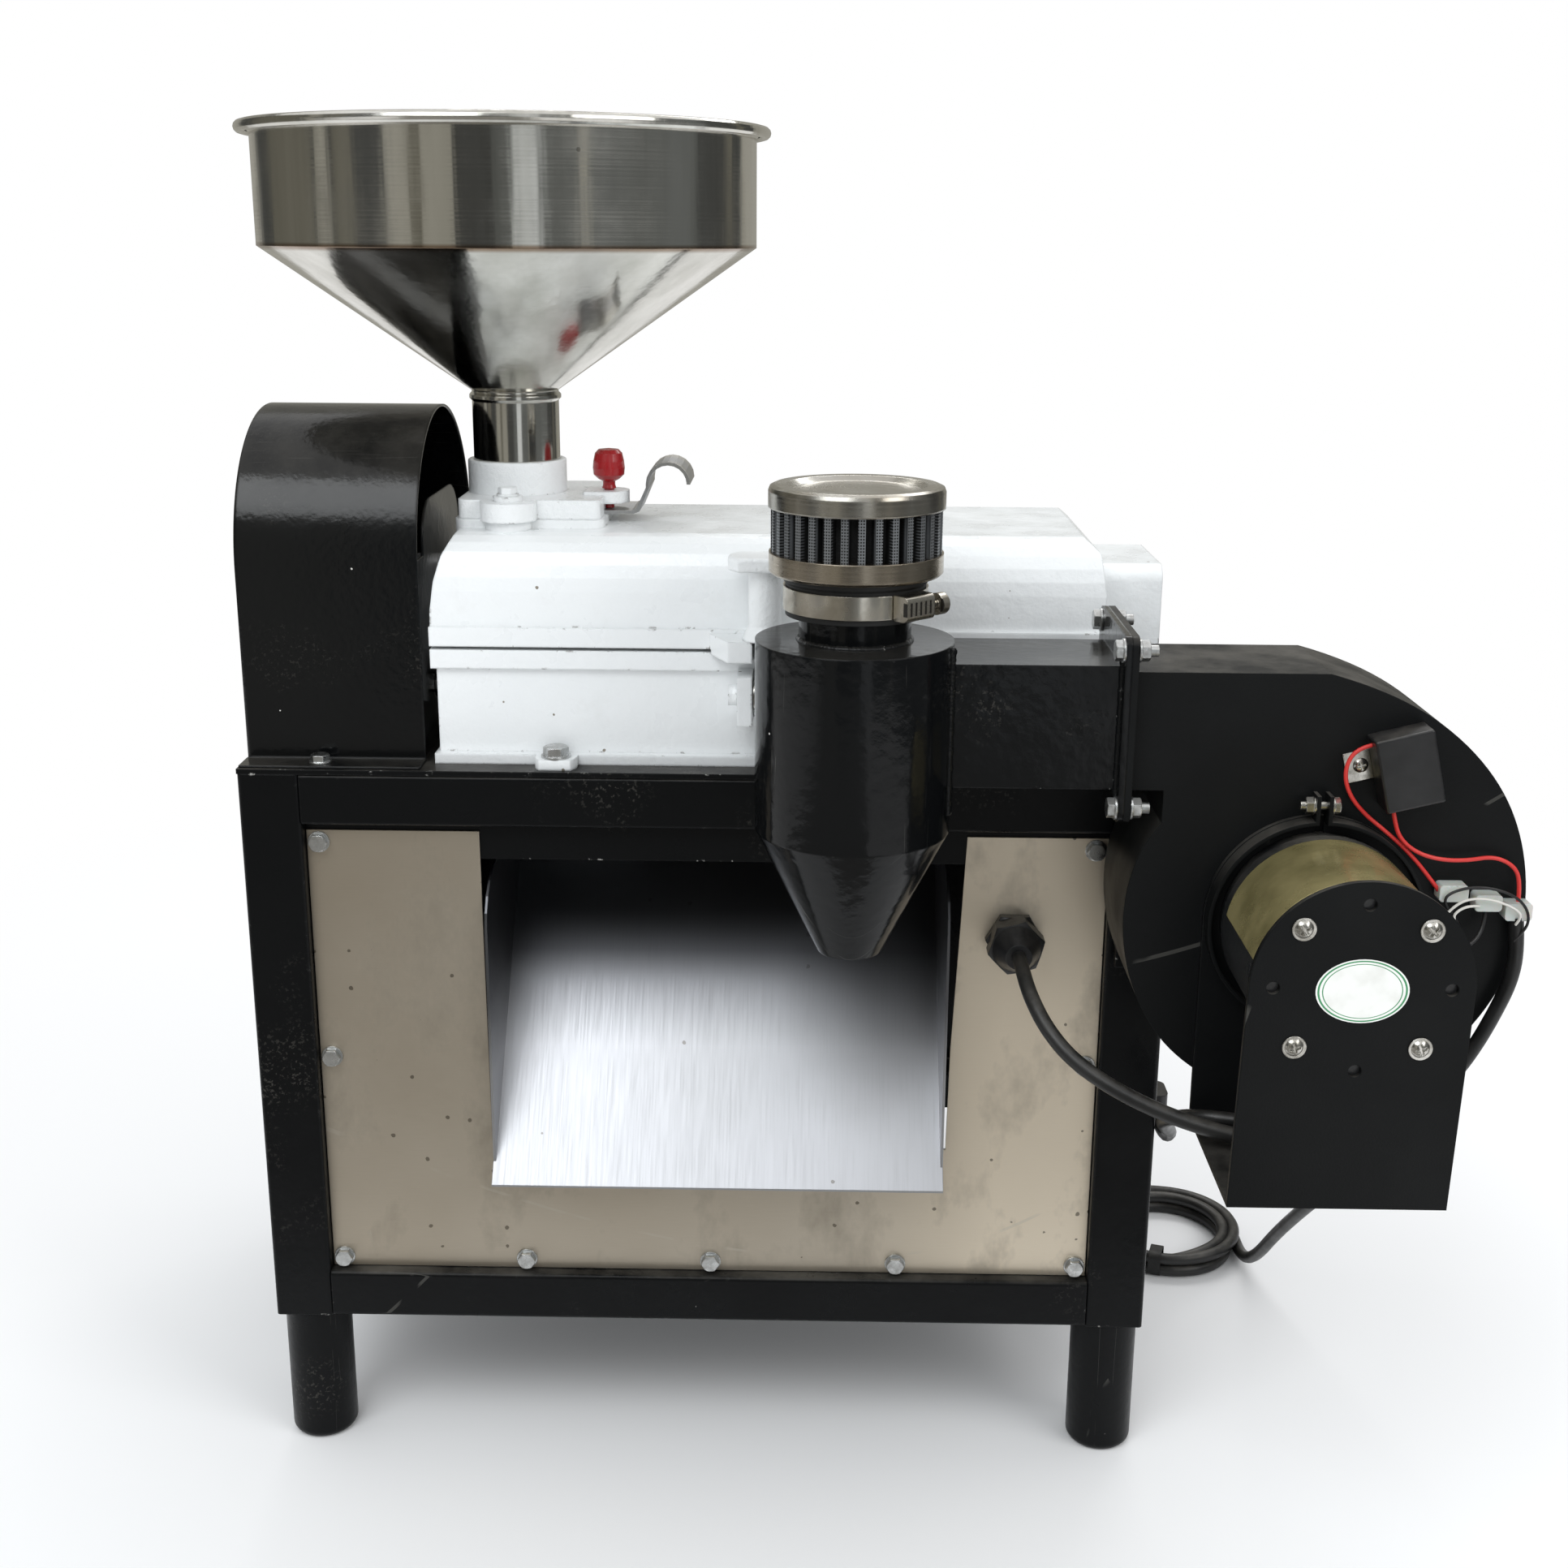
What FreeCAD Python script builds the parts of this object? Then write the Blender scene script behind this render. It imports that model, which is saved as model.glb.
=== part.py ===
import FreeCAD, Part
import math
import os

# Bench-top coffee huller. All sizes are in millimetres and +Z is up.
# Every piece is drawn in the stand's own layout: x from the stand's left face,
# y from the stand's front face towards the back, z from the floor.
# The two offsets below move that layout so that the origin is on the floor
# under the middle of the whole machine.

STAND_LEFT = -349.675
STAND_FRONT = -74.545

# Stand
STAND_W = 531.0
STAND_D = 330.0
LEG_H = 90.0
FRAME_H = 349.0
TABLE_Z = LEG_H + FRAME_H
TUBE = 35.0
TUBE_WALL = 2.0
TUBE_EDGE = 2.5
RAIL_H = 30.0
PLATE_T = 3.0
LEG_R = 20.0
LEG_WALL = 2.5
LEG_SOLE = 6.0
LEG_INSET_X = 20.0
LEG_INSET_Y = 22.0
PANEL_T = 1.5
PANEL_RECESS = 8.0
PANEL_FIT = 0.5
PANEL_HEADROOM = 38.0
PANEL_TOP = TABLE_Z - PANEL_HEADROOM
STRIP_W = 22.0
STRIP_T = 3.0
BOLT_INSET = 7.5
BACK = STAND_D

# Fits
HOLE_FIT = 0.05
SLIDE_FIT = 0.1
BODY_GAP = 0.3
RUNNING_GAP = 3.0
OVER = 1.0

# Bolts
M5_R = 2.5
M6_R = 3.0
M8_R = 4.0
M5_HOLE = M5_R + HOLE_FIT
M6_HOLE = M6_R + HOLE_FIT
M8_HOLE = M8_R + HOLE_FIT

# Hulling mill
AXIS_Y = 105.0
AXIS_H = 67.0
AXIS_Z = TABLE_Z + AXIS_H
MILL_HALF_D = 83.0
MILL_X0 = 112.0
MILL_X1 = STAND_W - 43.0
MILL_Y0 = AXIS_Y - MILL_HALF_D
MILL_Y1 = AXIS_Y + MILL_HALF_D
SPLIT_Z = AXIS_Z - 1.0
SPLIT_GAP = 2.0
COVER_H = 63.0
COVER_TOP = SPLIT_Z + COVER_H
CAST_WALL = 6.0
LIP = 3.0
LIP_H = 11.0
SHAFT_R = 12.5
SHAFT_HOLE = SHAFT_R + RUNNING_GAP
ROLLER_R = 44.0
DRUM_R = 38.0
DRUM_WALL = 7.0
RIB_W = 9.0
ROLLER_X0 = 197.0
ROLLER_X1 = MILL_X1 - 18.0
SIEVE_R = ROLLER_R + 6.0
SIEVE_T = 1.5
HINGE_Y = MILL_Y1 + 13.0
HINGE_R = 9.0
PIN_R = 4.0
BEARING_R = 26.0
BEARING_W = 15.0
HOUSE_BOLT = 33.0

# Feed inlet and hopper
FEED_X = 148.6
FEED_Y = AXIS_Y
FEED_R = 22.0
PAD_TOP = COVER_TOP + 5.0
GATE_T = 2.0
FEED_PLATE_TOP = PAD_TOP + 11.0
FEED_BOLT_REACH = 48.0
COLLAR_TOP = PAD_TOP + 30.0
COLLAR_R = 29.0
TUBE_R = 25.4
SEAT_Z = FEED_PLATE_TOP + 2.0
CONE_Z0 = SEAT_Z + 57.0
CONE_Z1 = CONE_Z0 + 81.0
HOPPER_R = 141.8
RIM_R = 150.0
RIM_Z = CONE_Z1 + 62.8
RIM_ROLL = 3.3
SHEET = 1.0

# Front clamp
CLAMP_X = 298.5
CLAMP_Y = MILL_Y0 - 18.0
CLAMP_PIN_Z = AXIS_Z - 22.0
CLAMP_BOLT_R = 5.0
CLAMP_BOLT_TOP = SPLIT_Z + 17.0
LUG_TOP = SPLIT_Z + SPLIT_GAP + 9.0
NUT_H = 47.0
NUT_TOP = LUG_TOP + NUT_H

# Belt drive
PULLEY_X0 = 32.0
PULLEY_X1 = 68.0
BELT_W = 10.0
BELT_T = 8.0
BELT_X = (43.0, 57.0)
ROLLER_BELT_R = 54.0
MOTOR_BELT_R = 42.0
MOTOR_Y = 190.0
MOTOR_LIFT = 80.0
MOTOR_R = 74.0
MOTOR_SHAFT_R = 9.5
BAR_T = 6.0
BAR_TOP = LEG_H + RAIL_H + BAR_T
MOTOR_Z = BAR_TOP + MOTOR_LIFT
GUARD_X0 = 1.0
GUARD_X1 = 104.0
GUARD_HALF_D = 85.5
GUARD_Y0 = AXIS_Y - GUARD_HALF_D
GUARD_Y1 = AXIS_Y + GUARD_HALF_D
GUARD_H = 195.0
GUARD_TOP = TABLE_Z + GUARD_H
GUARD_T = 1.5
GUARD_EDGE = 2.0

# Blower
FAN_X = STAND_W + 58.0
FAN_Z = TABLE_Z - 51.5
SCROLL_Y0 = -80.0
SCROLL_Y1 = -10.0
SCROLL_T = 1.5
OUTLET_X = FAN_X - 99.0
OUTLET_Z0 = FAN_Z + 68.5
OUTLET_Z1 = OUTLET_Z0 + 65.5
INLET_R = 38.0
FAN_R = 80.0
FAN_SHAFT_R = 5.0
FAN_MOTOR_R = 50.0
FAN_MOTOR_Y = SCROLL_Y0 - 95.0
BRACKET_T = 3.0
BRACKET_R = 54.0
FOOT_DROP = 116.5
FOOT_Z = FAN_Z - FOOT_DROP
MOUNT_T = 6.0
MOUNT_BOLT_R = 52.0

# Cyclone and filter
CYC_X = OUTLET_X - 143.1
CYC_Y = -65.0
CYC_R = 51.5
CYC_TOP = OUTLET_Z1 + 10.0
CYC_MID = OUTLET_Z0 - 26.0
CYC_TIP = CYC_MID - 69.0
CYC_TIP_R = 17.5
CYC_WALL = 1.5
NECK_R = 29.0
NECK_TOP = CYC_TOP + 24.5

# Mains cord
CORD_R = 4.25
GLAND_X = STAND_W - 87.5
GLAND_Z = TABLE_Z - 99.0


def vec(x, y, z):
    return FreeCAD.Vector(x, y, z)


def box(x0, x1, y0, y1, z0, z1):
    return Part.makeBox(x1 - x0, y1 - y0, z1 - z0, vec(x0, y0, z0))


def cyl_x(x0, x1, y, z, r):
    return Part.makeCylinder(r, x1 - x0, vec(x0, y, z), vec(1, 0, 0))


def cyl_y(x, y0, y1, z, r):
    return Part.makeCylinder(r, y1 - y0, vec(x, y0, z), vec(0, 1, 0))


def cyl_z(x, y, z0, z1, r):
    return Part.makeCylinder(r, z1 - z0, vec(x, y, z0), vec(0, 0, 1))


def fuse(shapes):
    body = shapes[0].multiFuse(shapes[1:]) if len(shapes) > 1 else shapes[0]
    return body.removeSplitter()


def cut(body, tools):
    return body.cut(tools)


def prism_x(points, x0, x1):
    """Extrude a closed outline of (y, z) points along x."""
    wire = Part.makePolygon([vec(x0, y, z) for y, z in points + points[:1]])
    return Part.Face(wire).extrude(vec(x1 - x0, 0, 0))


def prism_y(points, y0, y1):
    """Extrude a closed outline of (x, z) points along y."""
    wire = Part.makePolygon([vec(x, y0, z) for x, z in points + points[:1]])
    return Part.Face(wire).extrude(vec(0, y1 - y0, 0))


def prism_z(points, z0, z1):
    """Extrude a closed outline of (x, y) points along z."""
    wire = Part.makePolygon([vec(x, y, z0) for x, y in points + points[:1]])
    return Part.Face(wire).extrude(vec(0, 0, z1 - z0))


def place(shape, point, direction, turn=0.0):
    """Stand a shape drawn along +z at a point, facing a direction."""
    spin = FreeCAD.Rotation(vec(0, 0, 1), turn)
    aim = FreeCAD.Rotation(vec(0, 0, 1), vec(*direction))
    shape.Placement = FreeCAD.Placement(vec(*point), aim.multiply(spin))
    return shape


def long_edges(shape, axis, length):
    """The straight edges of a box that run along x, y or z."""
    return [e for e in shape.Edges if getattr(e.BoundBox, axis + "Length") > length - 0.01]


def hexagon(across, z0, z1):
    r = across / math.sqrt(3.0)
    points = [(r * math.cos(math.radians(60 * i)), r * math.sin(math.radians(60 * i))) for i in range(6)]
    blank = prism_z(points, z0, z1)
    rounding = Part.makeCone(across * 0.5 + (z1 - z0) * 1.6, across * 0.5, z1 - z0, vec(0, 0, z0))
    return blank.common(rounding)


def hex_bolt(point, direction, d, length, grip=None):
    """A flanged hexagon bolt. Its head faces along direction and its shank runs back from point."""
    across = d * 1.6
    head = hexagon(across, 1.2, 1.2 + d * 0.62)
    flange = Part.makeCylinder(d * 1.05, 1.2, vec(0, 0, 0))
    shank = Part.makeCylinder(d * 0.5, length, vec(0, 0, -length))
    solids = [head, flange, shank]
    if grip is not None:
        solids.append(Part.makeCylinder(d * 1.0, 1.2, vec(0, 0, -grip - 1.2)))
        solids.append(hexagon(across, 0, d * 0.75).mirror(vec(0, 0, 0), vec(0, 0, 1)).translated(
            vec(0, 0, -grip - 1.2)))
    return place(fuse(solids), point, direction)


def pan_screw(point, direction, d, length, turn=0.0):
    """A pan-head screw with a cross recess."""
    r = d * 1.0
    h = d * 0.6
    ball = (r * r + h * h) / (2.0 * h)
    head = Part.makeSphere(ball, vec(0, 0, h - ball)).common(Part.makeCylinder(r, h))
    arm = d * 0.14
    reach = d * 0.55
    for a, b in ((reach, arm), (arm, reach)):
        head = head.cut(Part.makeBox(2 * a, 2 * b, h, vec(-a, -b, h * 0.45)))
    shank = Part.makeCylinder(d * 0.5, length, vec(0, 0, -length))
    return place(fuse([head, shank]), point, direction, turn)


def revolve_z(points, x, y):
    """Turn a closed outline of (radius, z) points about a vertical line."""
    wire = Part.makePolygon([vec(x + r, y, z) for r, z in points + points[:1]])
    return Part.Face(wire).revolve(vec(x, y, 0), vec(0, 0, 1), 360)


def revolve_x(points, y, z):
    """Turn a closed outline of (x, radius) points about a line along x."""
    wire = Part.makePolygon([vec(px, y, z + r) for px, r in points + points[:1]])
    return Part.Face(wire).revolve(vec(0, y, z), vec(1, 0, 0), 360)


PIECES = {}


def save(name, solids):
    """Write one named piece, or a group of separate solids that share a name."""
    if not isinstance(solids, list):
        solids = [solids]
    loose = []
    for item in solids:
        loose.extend(item.Solids)
    shape = loose[0] if len(loose) == 1 else Part.makeCompound(loose)
    if not shape.isValid():
        print("not valid:", name)
    moved = shape.translated(vec(STAND_LEFT, STAND_FRONT, 0))
    moved.exportStep("parts/" + name + ".step")
    PIECES[name] = moved
    print(name, len(loose), round(shape.Volume / 1000.0, 2))


os.makedirs("parts", exist_ok=True)

# Stand: four corner posts, eight rails, the strips that the panels are bolted to, legs and table.
right = STAND_W
back = STAND_D
inner = TUBE - TUBE_WALL
post_top = TABLE_Z - PLATE_T
posts = []
for x0 in (0.0, right - TUBE):
    for y0 in (0.0, back - TUBE):
        tube = box(x0, x0 + TUBE, y0, y0 + TUBE, LEG_H, post_top)
        tube = tube.makeFillet(TUBE_EDGE, long_edges(tube, "Z", post_top - LEG_H))
        hollow = box(x0 + TUBE_WALL, x0 + inner, y0 + TUBE_WALL, y0 + inner, LEG_H - 1, post_top + 1)
        posts.append(tube.cut(hollow))
save("corner_posts", posts)

rails = []
levels = ((LEG_H, LEG_H + RAIL_H), (post_top - RAIL_H, post_top))
for z0, z1 in levels:
    for y0 in (0.0, back - TUBE):
        tube = box(TUBE, right - TUBE, y0, y0 + TUBE, z0, z1)
        tube = tube.makeFillet(TUBE_EDGE, long_edges(tube, "X", right - 2 * TUBE))
        hollow = box(TUBE - 1, right - TUBE + 1, y0 + TUBE_WALL, y0 + inner, z0 + TUBE_WALL, z1 - TUBE_WALL)
        rails.append(tube.cut(hollow))
    for x0 in (0.0, right - TUBE):
        tube = box(x0, x0 + TUBE, TUBE, back - TUBE, z0, z1)
        tube = tube.makeFillet(TUBE_EDGE, long_edges(tube, "Y", back - 2 * TUBE))
        hollow = box(x0 + TUBE_WALL, x0 + inner, TUBE - 1, back - TUBE + 1, z0 + TUBE_WALL, z1 - TUBE_WALL)
        rails.append(tube.cut(hollow))

# The panel strips are flat bars welded inside each opening, one panel thickness behind its front.
open_z0 = LEG_H + RAIL_H
open_z1 = post_top - RAIL_H
strip_y0 = PANEL_RECESS + PANEL_T
strip_y1 = strip_y0 + STRIP_T
bolt_z = [LEG_H + h for h in (37.0, 170.0, 304.0)]
bolt_x = [TUBE + BOLT_INSET, 154.5, 266.8, 379.5, STAND_W - TUBE - BOLT_INSET]
front_bolts = [(x, bolt_z[0]) for x in bolt_x]
front_bolts += [(bolt_x[0], bolt_z[1]), (bolt_x[-1], bolt_z[1]), (bolt_x[0], bolt_z[2]),
                (bolt_x[-1], bolt_z[2])]
front_strips = [
    box(TUBE, TUBE + STRIP_W, strip_y0, strip_y1, open_z0, open_z1),
    box(right - TUBE - STRIP_W, right - TUBE, strip_y0, strip_y1, open_z0, open_z1),
    box(TUBE + STRIP_W, right - TUBE - STRIP_W, strip_y0, strip_y1, open_z0, open_z0 + STRIP_W),
    box(TUBE + STRIP_W, right - TUBE - STRIP_W, strip_y0, strip_y1, open_z1 - STRIP_W, open_z1),
]
front_holes = [cyl_y(x, strip_y0 - 5, strip_y1 + 5, z, M6_HOLE) for x, z in front_bolts]
back_y1 = back - PANEL_RECESS - PANEL_T
back_y0 = back_y1 - STRIP_T
back_bolts = [(x, z) for x in (bolt_x[0], bolt_x[-1]) for z in bolt_z]
back_strips = [
    box(TUBE, TUBE + STRIP_W, back_y0, back_y1, open_z0, open_z1),
    box(right - TUBE - STRIP_W, right - TUBE, back_y0, back_y1, open_z0, open_z1),
]
back_holes = [cyl_y(x, back_y0 - 8, back_y1 + 8, z, M6_HOLE) for x, z in back_bolts]
side_ys = (TUBE + BOLT_INSET, back - TUBE - BOLT_INSET)
side_bolts = [(y, z) for y in side_ys for z in bolt_z]
left_x0 = PANEL_RECESS + PANEL_T
side_strips = []
for x0 in (left_x0, right - left_x0 - STRIP_T):
    side_strips.append(box(x0, x0 + STRIP_T, TUBE, TUBE + STRIP_W, open_z0, open_z1))
    side_strips.append(box(x0, x0 + STRIP_T, back - TUBE - STRIP_W, back - TUBE, open_z0, open_z1))
side_holes = [cyl_x(-1, right + 1, y, z, M6_HOLE) for y, z in side_bolts]
strips = [s.cut(front_holes) for s in front_strips]
strips += [s.cut(back_holes) for s in back_strips]
strips += [s.cut(side_holes) for s in side_strips]

legs = []
for x in (LEG_INSET_X, right - LEG_INSET_X):
    for y in (LEG_INSET_Y, back - LEG_INSET_Y):
        pipe = cyl_z(x, y, 0.0, LEG_H, LEG_R)
        rim = [e for e in pipe.Edges if abs(e.BoundBox.ZMax) < 0.01]
        pipe = pipe.makeFillet(5.0, rim)
        legs.append(pipe.cut(cyl_z(x, y, LEG_SOLE, LEG_H + OVER, LEG_R - LEG_WALL)))
save("legs", legs)

# Table: a steel plate with the discharge opening, the belt slot and the mill's bolt holes.
DROP_X0 = 150.0
DROP_X1 = 404.0
DROP_Y0 = AXIS_Y - 43.0
DROP_Y1 = AXIS_Y + 45.0
BELT_SLOT = (PULLEY_X0 - 10.0, PULLEY_X1 + 10.0, AXIS_Y - 63.0, AXIS_Y + 81.0)
MILL_BOLT_X = (180.0, 380.0)
MILL_BOLT_REACH = 10.0
MILL_BOLT_Y = (MILL_Y0 - MILL_BOLT_REACH, MILL_Y1 + MILL_BOLT_REACH)
mill_bolts = [(x, y) for x in MILL_BOLT_X for y in MILL_BOLT_Y]
guard_bolts = [(45.6, y) for y in (GUARD_Y0 - 9.0, GUARD_Y1 + 9.0)]
top_holes = [cyl_z(x, y, post_top - 8, TABLE_Z + 1, M8_HOLE) for x, y in mill_bolts]
top_holes += [cyl_z(x, y, post_top - 8, TABLE_Z + 1, M6_HOLE) for x, y in guard_bolts]
rails = [r.cut(top_holes) for r in rails]
save("frame_rails", rails + strips)
table = box(0, right, 0, back, post_top, TABLE_Z)
table = table.cut([
    box(DROP_X0, DROP_X1, DROP_Y0, DROP_Y1, post_top - 1, TABLE_Z + 1),
    box(BELT_SLOT[0], BELT_SLOT[1], BELT_SLOT[2], BELT_SLOT[3], post_top - 1, TABLE_Z + 1),
] + top_holes)
save("table_plate", table)

# Front panel with the chute's cut-out and the gland's hole.
CHUTE_X0 = 138.0
CHUTE_X1 = 406.0
CHUTE_LIP_Y = -12.0
CHUTE_LIP_Z = LEG_H + 97.0
CHUTE_SLOPE = 1.21
CHUTE_T = 1.5
CUT_Z0 = CHUTE_LIP_Z + 17.0
GLAND_THREAD_R = 12.0
panel = box(TUBE + PANEL_FIT, right - TUBE - PANEL_FIT, PANEL_RECESS, strip_y0, open_z0 + PANEL_FIT,
            PANEL_TOP)
mouth = [(CHUTE_X0 - 3, PANEL_TOP + 1), (CHUTE_X0 - 2, CUT_Z0), (CHUTE_X1 + 2, CUT_Z0),
         (CHUTE_X1 + 3, CUT_Z0 + 66.0), (CHUTE_X1 + 9, PANEL_TOP + 1)]
panel = panel.cut([prism_y(mouth, 0, 20), cyl_y(GLAND_X, 0, 20, GLAND_Z, GLAND_THREAD_R + HOLE_FIT)]
                  + front_holes)
save("front_panel", panel)

# Side and back panels. The right one has the blower's air opening, the back one has louvre slots.
AIR_Y0 = 60.0
AIR_Y1 = 108.0
AIR_Z0 = FAN_Z - 53.5
AIR_Z1 = AIR_Z0 + 62.0
side_panels = []
for x0 in (PANEL_RECESS, right - left_x0):
    side = box(x0, x0 + PANEL_T, TUBE + PANEL_FIT, back - TUBE - PANEL_FIT, open_z0 + PANEL_FIT,
               open_z1 - PANEL_FIT)
    side_panels.append(side.cut(side_holes))
side_panels[1] = side_panels[1].cut(box(right - 30, right, AIR_Y0, AIR_Y1, AIR_Z0, AIR_Z1))
rear = box(TUBE + PANEL_FIT, right - TUBE - PANEL_FIT, back_y1, back_y1 + PANEL_T, open_z0 + PANEL_FIT,
           open_z1 - PANEL_FIT)
louvres = [box(150 + 60 * c, 195 + 60 * c, back - 20, back, LEG_H + 80 + 22 * r, LEG_H + 86 + 22 * r)
           for c in range(4) for r in range(5)]
rear = rear.cut(back_holes + louvres)
save("stand_panels", side_panels + [rear])

# Chute: a folded sheet with a sloping floor between two side walls.
def floor_z(y):
    return CHUTE_LIP_Z + CHUTE_SLOPE * (y - CHUTE_LIP_Y)


drop = CHUTE_T * math.hypot(1.0, CHUTE_SLOPE)
floor_top_y = CHUTE_LIP_Y + (post_top - CHUTE_LIP_Z) / CHUTE_SLOPE
floor_pts = [(CHUTE_LIP_Y, CHUTE_LIP_Z), (floor_top_y, post_top), (floor_top_y, post_top - drop),
             (CHUTE_LIP_Y, CHUTE_LIP_Z - drop)]
chute_floor = prism_x(floor_pts, CHUTE_X0, CHUTE_X1)
chute_floor = chute_floor.common(box(0, right, CHUTE_LIP_Y, back, CHUTE_LIP_Z - 1.2, post_top))
WALL_Y = -3.0
arc = [(WALL_Y + 42 - 42 * math.cos(math.radians(a)), PANEL_TOP - 56 + 30 * math.sin(math.radians(a)))
       for a in (0, 18, 36, 54, 72, 90)]
wall_top = PANEL_TOP - 26.0
side_pts = [(WALL_Y, floor_z(WALL_Y))] + arc + [(60.0, wall_top), (60.0, post_top), (floor_top_y, post_top)]
walls = [prism_x(side_pts, CHUTE_X0, CHUTE_X0 + CHUTE_T), prism_x(side_pts, CHUTE_X1 - CHUTE_T, CHUTE_X1)]
hem = box(CHUTE_X0, CHUTE_X1, floor_top_y - 0.01, floor_top_y + 16.0, post_top - CHUTE_T, post_top)
chute = fuse([chute_floor, hem] + walls).cut([cyl_z(x, y, post_top - 5, post_top + 1, M8_HOLE) for x,
                                              y in mill_bolts])
save("chute", chute)

# Lower casing of the mill: an open iron trough with a base flange, a split flange and cradle walls.
in_x0 = MILL_X0 + CAST_WALL + 2
in_x1 = MILL_X1 - CAST_WALL - 2
floor_in = TABLE_Z + 11.0
FOOT_T = 6.0
FOOT_TONGUE = 12.0
trough = fuse([
    box(MILL_X0, MILL_X1, MILL_Y0, MILL_Y1, TABLE_Z, SPLIT_Z),
    box(MILL_X0 - LIP, MILL_X1 + LIP - 1, MILL_Y0 - LIP, MILL_Y1 + LIP, SPLIT_Z - LIP_H, SPLIT_Z),
    box(MILL_X0 - 2, MILL_X1 + 2, MILL_Y0 - 18, MILL_Y1 + 18, TABLE_Z, TABLE_Z + FOOT_T),
])
foot_z0 = TABLE_Z - OVER
foot_z1 = TABLE_Z + FOOT_T + OVER
for bolt_y, y0, y1 in ((MILL_BOLT_Y[0], MILL_Y0 - 20, MILL_Y0 - 6),
                       (MILL_BOLT_Y[1], MILL_Y1 + 6, MILL_Y1 + 20)):
    inward = 8.0 if bolt_y < AXIS_Y else -8.0
    tongues = []
    for x in MILL_BOLT_X:
        tongues.append(cyl_z(x, bolt_y, foot_z0, foot_z1, FOOT_TONGUE))
        tongues.append(box(x - FOOT_TONGUE, x + FOOT_TONGUE, min(bolt_y, bolt_y + inward),
                           max(bolt_y, bolt_y + inward),
                           foot_z0, foot_z1))
    trough = trough.cut(box(MILL_X0 - 10, MILL_X1 + 10, y0, y1, foot_z0, foot_z1).cut(tongues))
trough = trough.cut([
    box(in_x0, in_x1, MILL_Y0 + CAST_WALL, MILL_Y1 - CAST_WALL, floor_in, SPLIT_Z + 1),
    box(DROP_X0, DROP_X1, DROP_Y0, DROP_Y1, TABLE_Z - 1, floor_in + 1),
])
cradle_h = SPLIT_Z - 9.0
SIEVE_X0 = ROLLER_X0 - 7.0
SIEVE_X1 = MILL_X1 - CAST_WALL - 4.0
SCREW_R = 41.0
SCREW_GAP = 2.0
sieve_seat = SIEVE_R + SIEVE_T
cradles = []
for x0, x1, seat in ((in_x0, SIEVE_X0 - 2, SCREW_R + SCREW_GAP), (SIEVE_X0 - 2, SIEVE_X0 + 4, sieve_seat),
                     (DROP_X1, DROP_X1 + 6, sieve_seat), (SIEVE_X1 - 4, in_x1, sieve_seat)):
    wall = box(x0, x1, MILL_Y0 + CAST_WALL, MILL_Y1 - CAST_WALL, floor_in, cradle_h)
    cradles.append(wall.cut(cyl_x(x0 - 1, x1 + 1, AXIS_Y, AXIS_Z, seat)))
ear_low = box(CLAMP_X - 15, CLAMP_X + 15, CLAMP_Y - 9, MILL_Y0 + OVER, CLAMP_PIN_Z - 16, CLAMP_PIN_Z + 12)
ear_low = ear_low.cut([
    box(CLAMP_X - 6.5, CLAMP_X + 6.5, CLAMP_Y - 10, MILL_Y0 - 4, CLAMP_PIN_Z - 17, CLAMP_PIN_Z + 13),
    cyl_x(CLAMP_X - 16, CLAMP_X + 16, CLAMP_Y, CLAMP_PIN_Z, PIN_R + HOLE_FIT),
])
HINGES = (165.0, MILL_X1 - 58.0)
hinge_z = AXIS_Z
hinge_ears = []
for hx in HINGES:
    for x0 in (hx - 16.0, hx + 8.0):
        ear = fuse([
            box(x0, x0 + 8.0, MILL_Y1 - 1, HINGE_Y, hinge_z - 22.0, hinge_z),
            cyl_x(x0, x0 + 8.0, HINGE_Y, hinge_z, HINGE_R),
            prism_x([(MILL_Y1, hinge_z - 34), (HINGE_Y + 3, hinge_z - 14), (HINGE_Y, hinge_z - 2),
                     (MILL_Y1, hinge_z - 2)],
                    x0, x0 + 8.0),
        ])
        hinge_ears.append(ear)
trough = fuse([trough, ear_low] + cradles + hinge_ears)
trough = trough.cut([cyl_x(hx - 17, hx + 17, HINGE_Y, hinge_z, PIN_R + HOLE_FIT) for hx in HINGES])
trough = trough.cut([box(hx - 8, hx + 8, MILL_Y1 + 0.5, MILL_Y1 + 30, SPLIT_Z - 14, SPLIT_Z + 30)
                     for hx in HINGES])
trough = trough.cut([cyl_x(MILL_X0 - 10, MILL_X1 + 10, AXIS_Y, AXIS_Z, SHAFT_HOLE)])
trough = trough.cut([cyl_z(x, y, foot_z0, foot_z1, M8_HOLE) for x, y in mill_bolts])

# Bearing housings on the two ends of the trough.
HOUSE_R = 39.0
HOUSE_HALF = 43.0
LEFT_HOUSE_X = 86.0
LEFT_BEARING_X = 90.0
RIGHT_HOUSE_X = MILL_X1 + 2.0
RIGHT_HOUSE_X1 = RIGHT_HOUSE_X + 37.0
RIGHT_BEARING_X = RIGHT_HOUSE_X + 10.0
house_bolts = [(AXIS_Y - HOUSE_BOLT, AXIS_Z - HOUSE_BOLT), (AXIS_Y + HOUSE_BOLT, AXIS_Z - HOUSE_BOLT)]
left_end = MILL_X0 - LIP
left_house = fuse([cyl_x(LEFT_HOUSE_X, MILL_X0, AXIS_Y, AXIS_Z, HOUSE_R),
                   box(left_end - 3, MILL_X0, AXIS_Y - 42, AXIS_Y + 42, AXIS_Z - 42, SPLIT_Z - LIP_H)])
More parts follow.
